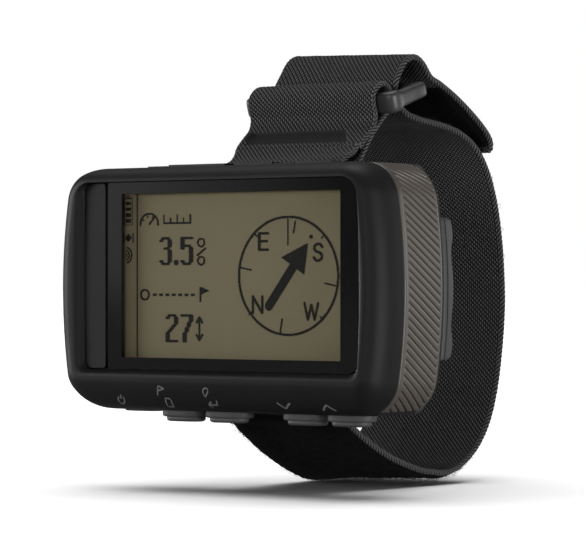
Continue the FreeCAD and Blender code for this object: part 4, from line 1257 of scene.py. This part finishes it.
def pile_part(tag, s0, s1, body, seed, per_mm2, blend=None, high=1.0):
    """Looped pile on the outer face: a lumpy skin with curled fibres standing out of it."""
    keep = (PATH_S >= s0 - 1e-6) & (PATH_S <= s1 + 1e-6)
    c, n, s = PATH_C[keep][::2], PATH_N[keep][::2], PATH_S[keep][::2]
    w = HALF - 0.75
    xs = np.linspace(-w, w, 84)
    U, S = np.meshgrid(xs, s)
    ends = np.minimum(step01(S, s0, s0 + 0.8), 1 - step01(S, s1 - 0.8, s1))
    side = step01(w - np.abs(U), 0, 1.0)
    lump = 0.50 + 0.07 * smooth_noise(S, U, seed, 0.62) + 0.05 * smooth_noise(S, U, seed + 5, 0.4) + 0.08 * smooth_noise(S, U, seed + 9, 3.1)
    full = 0.75 * step01(-U, 6, 13) * step01(S, S_START, S_START + 3) * (1 - step01(S, s_at((44, -34.6)), s_at((52, -35.2))))
    h = (0.08 + (lump + full) * ends * (0.25 + 0.75 * side)) * high
    dy, dz = warp(S, U, c, n)
    out = np.stack([U, c[:, 0][:, None] - n[:, 0][:, None] * h + dy, c[:, 1][:, None] - n[:, 1][:, None] * h + dz], -1)
    inn = np.stack([U, c[:, 0][:, None] + n[:, 0][:, None] * 0.15 + dy, c[:, 1][:, None] + n[:, 1][:, None] * 0.15 + dz], -1)
    V = np.concatenate([inn, out[:, ::-1]], 1)
    V[..., 2] = np.maximum(V[..., 2], FLOOR_Z * 1000 + 0.03)
    nu, nv = V.shape[:2]
    F = [grid_faces(nu, nv, close_v=True, flip=True), fan(np.arange(nv)), fan(np.arange(nv) + (nu - 1) * nv, True)]
    base = piece("pile_" + tag, V.reshape(-1, 3), F, M["pile"], None if blend else body)
    if blend:
        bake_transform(base)
    rnd = np.random.RandomState(seed)
    count = int(per_mm2 * (s1 - s0) * 2 * w)
    fs = rnd.uniform(s0 + 0.4, s1 - 0.4, count)
    fx = rnd.uniform(-w - 0.25, w + 0.25, count)
    edge_n = int(count * 0.10)
    fx[:edge_n] = np.sign(rnd.uniform(-1, 1, edge_n)) * rnd.uniform(w - 0.5, w + 0.3, edge_n)
    size = rnd.uniform(0.22, 0.5, count) * np.where(rnd.uniform(size=count) < 0.13, 2.0, 1.0)
    lean = rnd.normal(0, 0.45, (count, 2))
    spin = rnd.uniform(0, 2 * np.pi, count)
    turn = rnd.uniform(200, 330, count) * np.pi / 180
    K, R, sides = 9, 0.034, 3
    idx = np.searchsorted(PATH_S, fs)
    idx = np.clip(idx, 1, len(PATH_S) - 1)
    t2 = (PATH_C[idx] - PATH_C[idx - 1])
    t2 /= np.linalg.norm(t2, axis=1)[:, None]
    pc, pn = PATH_C[idx], PATH_N[idx]
    dy, dz = warp(fs[:, None], fx[:, None], pc, pn)
    full = 0.75 * step01(-fx, 6, 13) * step01(fs, S_START, S_START + 3) * (1 - step01(fs, s_at((44, -34.6)), s_at((52, -35.2))))
    lift = (0.45 + full) * (0.25 + 0.75 * step01(w - np.abs(fx), 0, 1.0)) * high
    base0 = np.stack([fx, pc[:, 0] - pn[:, 0] * lift + dy[:, 0], pc[:, 1] - pn[:, 1] * lift + dz[:, 0]], 1)
    T = np.stack([np.zeros(count), t2[:, 0], t2[:, 1]], 1)
    O = np.stack([np.zeros(count), -pn[:, 0], -pn[:, 1]], 1)
    X = np.tile(np.array([[1.0, 0, 0]]), (count, 1))
    A = np.cos(spin)[:, None] * X + np.sin(spin)[:, None] * T
    Bv = -np.sin(spin)[:, None] * X + np.cos(spin)[:, None] * T
    up = O + lean[:, :1] * A * 0.5 + lean[:, 1:] * Bv * 0.5
    up /= np.linalg.norm(up, axis=1)[:, None]
    k = np.linspace(0, 1, K)
    ang = -np.pi / 2 + turn[:, None] * k[None, :] - 0.3
    pos = base0[:, None, :] + size[:, None, None] * (np.cos(ang)[..., None] * A[:, None, :] * 0.75 + (1 + np.sin(ang))[..., None] * up[:, None, :] * 0.62 + (k[None, :, None] - 0.5) * Bv[:, None, :] * 0.7)
    tan = np.gradient(pos, axis=1)
    tan /= np.linalg.norm(tan, axis=2)[..., None]
    a = np.cross(tan, Bv[:, None, :] + 0.3 * up[:, None, :])
    a /= np.linalg.norm(a, axis=2)[..., None] + 1e-9
    b = np.cross(tan, a)
    th = np.linspace(0, 2 * np.pi, sides, endpoint=False)
    rr = R * (1 - 0.45 * k)[None, :, None, None]
    V = pos[:, :, None, :] + rr * (np.cos(th)[None, None, :, None] * a[:, :, None, :] + np.sin(th)[None, None, :, None] * b[:, :, None, :])
    V = V.reshape(-1, 3)
    V[:, 2] = np.maximum(V[:, 2], FLOOR_Z * 1000 + 0.03)
    one = grid_faces(K, sides, close_v=True)
    F = (one[None] + (np.arange(count) * K * sides)[:, None, None]).reshape(-1, 4)
    cap = np.array([[0, 2, 1], [(K - 1) * sides, (K - 1) * sides + 1, (K - 1) * sides + 2]])
    C = (cap[None] + (np.arange(count) * K * sides)[:, None, None]).reshape(-1, 3)
    fib = piece("fibres_" + tag, V, [F, C], M["fibre"], None if blend else body)
    if blend:
        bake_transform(fib)
    return base, fib


BL = ("unit", "strap_tail", tuple(metres((0, 42.4, 42.3))[0]), tuple(metres((0, 48.2, 38.1))[0]))
loop_tape, loop_rope, *_ = strap_part("loop", 0.0, S_CUT, "unit", ["wrist_strap"])
tail_tape, tail_rope, *_ = strap_part("tail", S_CUT, PATH_L, "strap_tail", ["strap_tail"], BL)
S_PILE0 = S_START - 1.5
S_PILE1 = s_at((41.5, 32.4))
loop_pile, loop_fib = pile_part("loop", S_PILE0, S_PILE1, "unit", 11, 2.1)


# ------------------------------------------------------------------ hook tape under the tail
def make_hook():
    s0, s1 = s_at((50.6, 37.2)), PATH_L - 0.4
    keep = (PATH_S >= s0) & (PATH_S <= s1)
    c, n, s = PATH_C[keep][::2], PATH_N[keep][::2], PATH_S[keep][::2]
    w = HALF - 0.9
    xs = np.linspace(-w, w, 90)
    U, S = np.meshgrid(xs, s)
    thick = 0.25 + 1.25 * step01(S, s0, s0 + 5.0)
    studs = np.maximum(0, np.cos(2 * np.pi * S / 0.8)) * np.maximum(0, np.cos(2 * np.pi * U / 0.62 + np.pi * np.floor(S / 0.8)))
    h = thick + 0.42 * studs + 0.05 * smooth_noise(S, U, 41, 0.5)
    out = np.stack([U, c[:, 0][:, None] - n[:, 0][:, None] * h, c[:, 1][:, None] - n[:, 1][:, None] * h], -1)
    inn = np.stack([U, c[:, 0][:, None] + 0 * h, c[:, 1][:, None] + 0 * h], -1)
    V = np.concatenate([inn, out[:, ::-1]], 1)
    nu, nv = V.shape[:2]
    F = [grid_faces(nu, nv, close_v=True, flip=True), fan(np.arange(nv)), fan(np.arange(nv) + (nu - 1) * nv, True)]
    return piece("hook_tape", V.reshape(-1, 3), F, M["hook"], "strap_tail", ["hook_patch"])


make_hook()

# ------------------------------------------------------------------ short strap
SHORT = [(20.2, 22.35), (21.3, 22.95), (22.7, 23.5), (23.7, 24.4), (24.5, 25.9), (26.5, 27.8), (28.2, 29.3),
         (28.7, 31.0), (28.1, 33.0), (28.0, 34.6), (28.9, 36.1), (30.6, 37.2), (32.6, 37.3), (34.2, 36.2), (34.7, 34.4),
         (34.6, 32.4), (33.6, 30.6), (31.4, 28.3), (28.6, 25.8), (25.4, 22.8), (23.4, 20.4), (22.9, 18.4), (21.6, 17.1),
         (19.7, 16.95), (18.1, 18.1), (17.6, 19.9), (18.4, 21.6)]


def short_warp(U, Y, Z, hw):
    """How the short strap pulls in at its near edge, behind and at the foot."""
    near = (1 + U / hw) / 2
    behind = step01(Y - 0.9 * (Z - 24), 26.0, 27.5) * step01(Z, 21.5, 24.5) * (1 - step01(Z, 29.5, 33.0))
    foot = (1 - step01(Y, 23.9, 24.6)) * step01(Z, 21.6, 22.6) * (1 - step01(Z, 24.6, 25.8))
    dy = -1.6 * behind * near - 0.7 * foot * near ** 2
    dz = 1.1 * foot * near ** 2
    return dy, dz


def make_short():
    c = curve_through(SHORT, 30, closed=True)
    c, s, L = even(c, 0.2, closed=True)
    n = normals2d(c, True)
    cen = c.mean(0)
    area = 0.5 * np.sum(c[:, 0] * np.roll(c[:, 1], -1) - np.roll(c[:, 0], -1) * c[:, 1])
    n = smooth_rows(n, 8, True) * (1 if area < 0 else -1)          # outward
    hw, er = 14.3, 0.42
    e = hw - er * 0.6
    xs = np.concatenate([[-e], np.linspace(-e + 0.04, e - 0.04, 240), [e]])
    U, S = np.meshgrid(xs, s)
    side = np.clip((e - np.abs(U)) / 0.4, 0, 1)
    side = np.sqrt(np.clip(1 - (1 - side) ** 2, 0, 1))
    rel = weave_relief(S, U, PU, PS, 0.11) + 0.05 * smooth_noise(S, U, 8, 2.6)
    # pressed seam across the front
    Y, Z = c[:, 0][:, None] + 0 * U, c[:, 1][:, None] + 0 * U
    front = (Y < 29.0) & (Z > 20)
    wz = step01(Z, 26.05, 26.5) * (1 - step01(Z, 28.45, 28.9)) * front
    wx = step01(U, -13.2, -12.6) * (1 - step01(U + (Z - 27.5) * 0.9, 9.3, 10.0))
    weld = wz * wx
    ribs = 0.03 * np.cos(2 * np.pi * U / 0.55)
    h = (rel - 0.13) * (1 - weld) + weld * (ribs - 0.62)
    # quilted hem lines beside the seam
    groove = np.exp(-((Z - 25.35) / 0.25) ** 2) * front
    h -= 0.28 * groove * (1 - weld)
    h = -0.6 + (h + 0.6) * (0.45 + 0.55 * side)
    dy, dz = short_warp(U, Y, Z, hw)
    out = np.stack([U, c[:, 0][:, None] + n[:, 0][:, None] * h + dy, c[:, 1][:, None] + n[:, 1][:, None] * h + dz], -1)
    inn_c = c - n * 1.12
    inn = np.stack([U, inn_c[:, 0][:, None] + dy, inn_c[:, 1][:, None] + dz], -1)
    V = np.concatenate([out, inn[:, ::-1]], 1)
    uv = np.concatenate([np.stack([S, U], -1), np.stack([S, U], -1)[:, ::-1]], 1)
    nu, nv = V.shape[:2]
    ob = piece("short_tape", V.reshape(-1, 3), [grid_faces(nu, nv, close_u=True, close_v=True, flip=area < 0)],
               M["weave2"], "short_strap", ["short_strap"], uv=uv.reshape(-1, 2))
    at = ob.data.attributes.new("weld", "FLOAT", "POINT")
    at.data.foreach_set("value", np.concatenate([weld, np.zeros_like(weld)], 1).ravel().astype(np.float32))
    cords = []
    for e in (-1, 1):
        cc = np.vstack([c, c[:1]]) - np.vstack([n, n[:1]]) * 0.58
        c1 = np.vstack([c, c[:1]])
        dy, dz = short_warp(e * hw, c1[:, 0], c1[:, 1], hw)
        P3 = np.stack([np.full(len(cc), e * (hw - er)), cc[:, 0] + dy, cc[:, 1] + dz], 1)
        cords.append(tube_along(P3, np.gradient(P3, axis=0), er))
    V2, F2 = join([k[:2] for k in cords])
    piece("short_selvedge", V2, F2, M["rope"], "short_strap", uv=np.concatenate([k[2] for k in cords]))
    return ob


make_short()

# ------------------------------------------------------------------ floor and light
def make_floor():
    n = 90
    t = np.linspace(-1, 1, n)
    g = np.sign(t) * np.abs(t) ** 2.2 * 9000
    X, Y = np.meshgrid(g, g, indexing="ij")
    V = np.stack([X, Y + Y0, np.full_like(X, FLOOR_Z * 1000 - 0.02)], -1).reshape(-1, 3)
    me = new_mesh("floor", V, [grid_faces(n, n)])
    m = Mat("floor_paper")
    m.set(Specular_IOR_Level=0.05, Roughness=0.9)
    seen = m.n("ShaderNodeLightPath").outputs["Is Camera Ray"]
    paper = m.ramp(m.noise(30, 2), [(0.3, grey(0.93)), (0.7, grey(0.95))])
    bright = m.n("ShaderNodeVectorMath", operation="SCALE")
    m.l(paper, bright.inputs[0])
    bright.inputs["Scale"].default_value = 1.92
    m.color(m.mix(seen, grey(0.36), bright.outputs[0]))
    me.materials.append(m.m)
    ob = bpy.data.objects.new("floor", me)
    bpy.context.scene.collection.objects.link(ob)


make_floor()

CARD, REAR, AMBIENT = 0.85, 1.1, 0.075
world = bpy.data.worlds.new("studio")
bpy.context.scene.world = world
world.use_nodes = True
wt = world.node_tree
wt.nodes.clear()
bg1, bg2 = wt.nodes.new("ShaderNodeBackground"), wt.nodes.new("ShaderNodeBackground")
bg1.inputs[0].default_value = (1, 1, 1, 1)


def wmath(op, a, b=None, clamp=False):
    nd = wt.nodes.new("ShaderNodeMath")
    nd.operation = op
    nd.use_clamp = clamp
    for k, v in enumerate((a, b)):
        if v is None:
            continue
        if isinstance(v, (int, float)):
            nd.inputs[k].default_value = v
        else:
            wt.links.new(v, nd.inputs[k])
    return nd.outputs[0]


def wdot(v):
    nd = wt.nodes.new("ShaderNodeVectorMath")
    nd.operation = "DOT_PRODUCT"
    wt.links.new(wdir, nd.inputs[0])
    nd.inputs[1].default_value = v
    return nd.outputs["Value"]


def wstep(x, a, b):
    nd = wt.nodes.new("ShaderNodeMapRange")
    nd.interpolation_type = "SMOOTHSTEP"
    wt.links.new(x, nd.inputs[0])
    nd.inputs[1].default_value, nd.inputs[2].default_value = (a, b) if a < b else (b, a)
    nd.inputs[3].default_value, nd.inputs[4].default_value = (0, 1) if a < b else (1, 0)
    return nd.outputs[0]


wdir = wt.nodes.new("ShaderNodeTexCoord").outputs["Generated"]
side_w, front_w, up_w = wdot((-0.786, 0.618, 0)), wdot((-0.618, -0.786, 0)), wdot((0, 0, 1))
# a soft card at the left front
card = wmath("MULTIPLY", wstep(side_w, -0.055, 0.06), wstep(side_w, 0.6, 0.3))
card = wmath("MULTIPLY", card, wstep(front_w, 0.45, 0.75))
card = wmath("MULTIPLY", card, wstep(wmath("ABSOLUTE", up_w), 0.6, 0.3))
# and one at the right rear, seen in the grip's skin
side_r, front_r = wdot((-0.78, 0.62, 0)), wdot((0.62, 0.78, 0))
rear = wmath("MULTIPLY", wstep(front_r, 0.80, 0.93), wstep(wmath("ABSOLUTE", up_w), 0.30, 0.04))
both = wmath("ADD", wmath("MULTIPLY", card, CARD), wmath("MULTIPLY", rear, REAR))
wt.links.new(wmath("ADD", both, AMBIENT), bg1.inputs[1])
bg2.inputs[0].default_value = (1, 1, 1, 1)
bg2.inputs[1].default_value = 1.0
lp, mx, wo = wt.nodes.new("ShaderNodeLightPath"), wt.nodes.new("ShaderNodeMixShader"), wt.nodes.new("ShaderNodeOutputWorld")
wt.links.new(lp.outputs["Is Camera Ray"], mx.inputs[0])
wt.links.new(bg1.outputs[0], mx.inputs[1])
wt.links.new(bg2.outputs[0], mx.inputs[2])
wt.links.new(mx.outputs[0], wo.inputs[0])


def light(name, kind, loc, aim, energy, **kw):
    d = bpy.data.lights.new(name, kind)
    d.energy = energy
    for k, v in kw.items():
        setattr(d, k, v)
    ob = bpy.data.objects.new(name, d)
    bpy.context.scene.collection.objects.link(ob)
    from mathutils import Vector
    ob.location = loc
    ob.rotation_euler = (Vector(aim) - Vector(loc)).to_track_quat("-Z", "Y").to_euler()
    # flags keep the object's lights off the paper, which has a broad one of its own
    ob.light_linking.receiver_collection = on_floor if name == "paper" else off_floor
    if name == "key":                     # the paper sweep throws this one up from below
        ob.light_linking.blocker_collection = off_floor
    return ob


off_floor = bpy.data.collections.new("off_floor")
off_floor.objects.link(bpy.data.objects["floor"])
off_floor.collection_objects[0].light_linking.link_state = "EXCLUDE"
on_floor = bpy.data.collections.new("on_floor")
on_floor.objects.link(bpy.data.objects["floor"])
on_floor.collection_objects[0].light_linking.link_state = "INCLUDE"


light("sky", "SUN", (-0.25, 0.2, 1), (0, 0.0, 0), 1.75, angle=math.radians(33))
light("paper", "SUN", (-0.1, 0.0, 1), (0, 0.0, 0), 1.9, angle=math.radians(80))
light("front", "SUN", (0.30, -0.98, 0.03), (0.0, 0, 0), 2.0, angle=math.radians(22))
light("key", "SUN", (0.97, -0.05, -0.08), (0, 0, 0), 2.8, angle=math.radians(20))
light("left", "SUN", (-0.92, -0.38, 0.02), (0, 0, 0), 4.8, angle=math.radians(20))
light("back", "AREA", (0.36, 1.1, 0.02), (0, 0, 0), 2.0, size=0.4)
bpy.context.scene.view_settings.view_transform = "Standard"
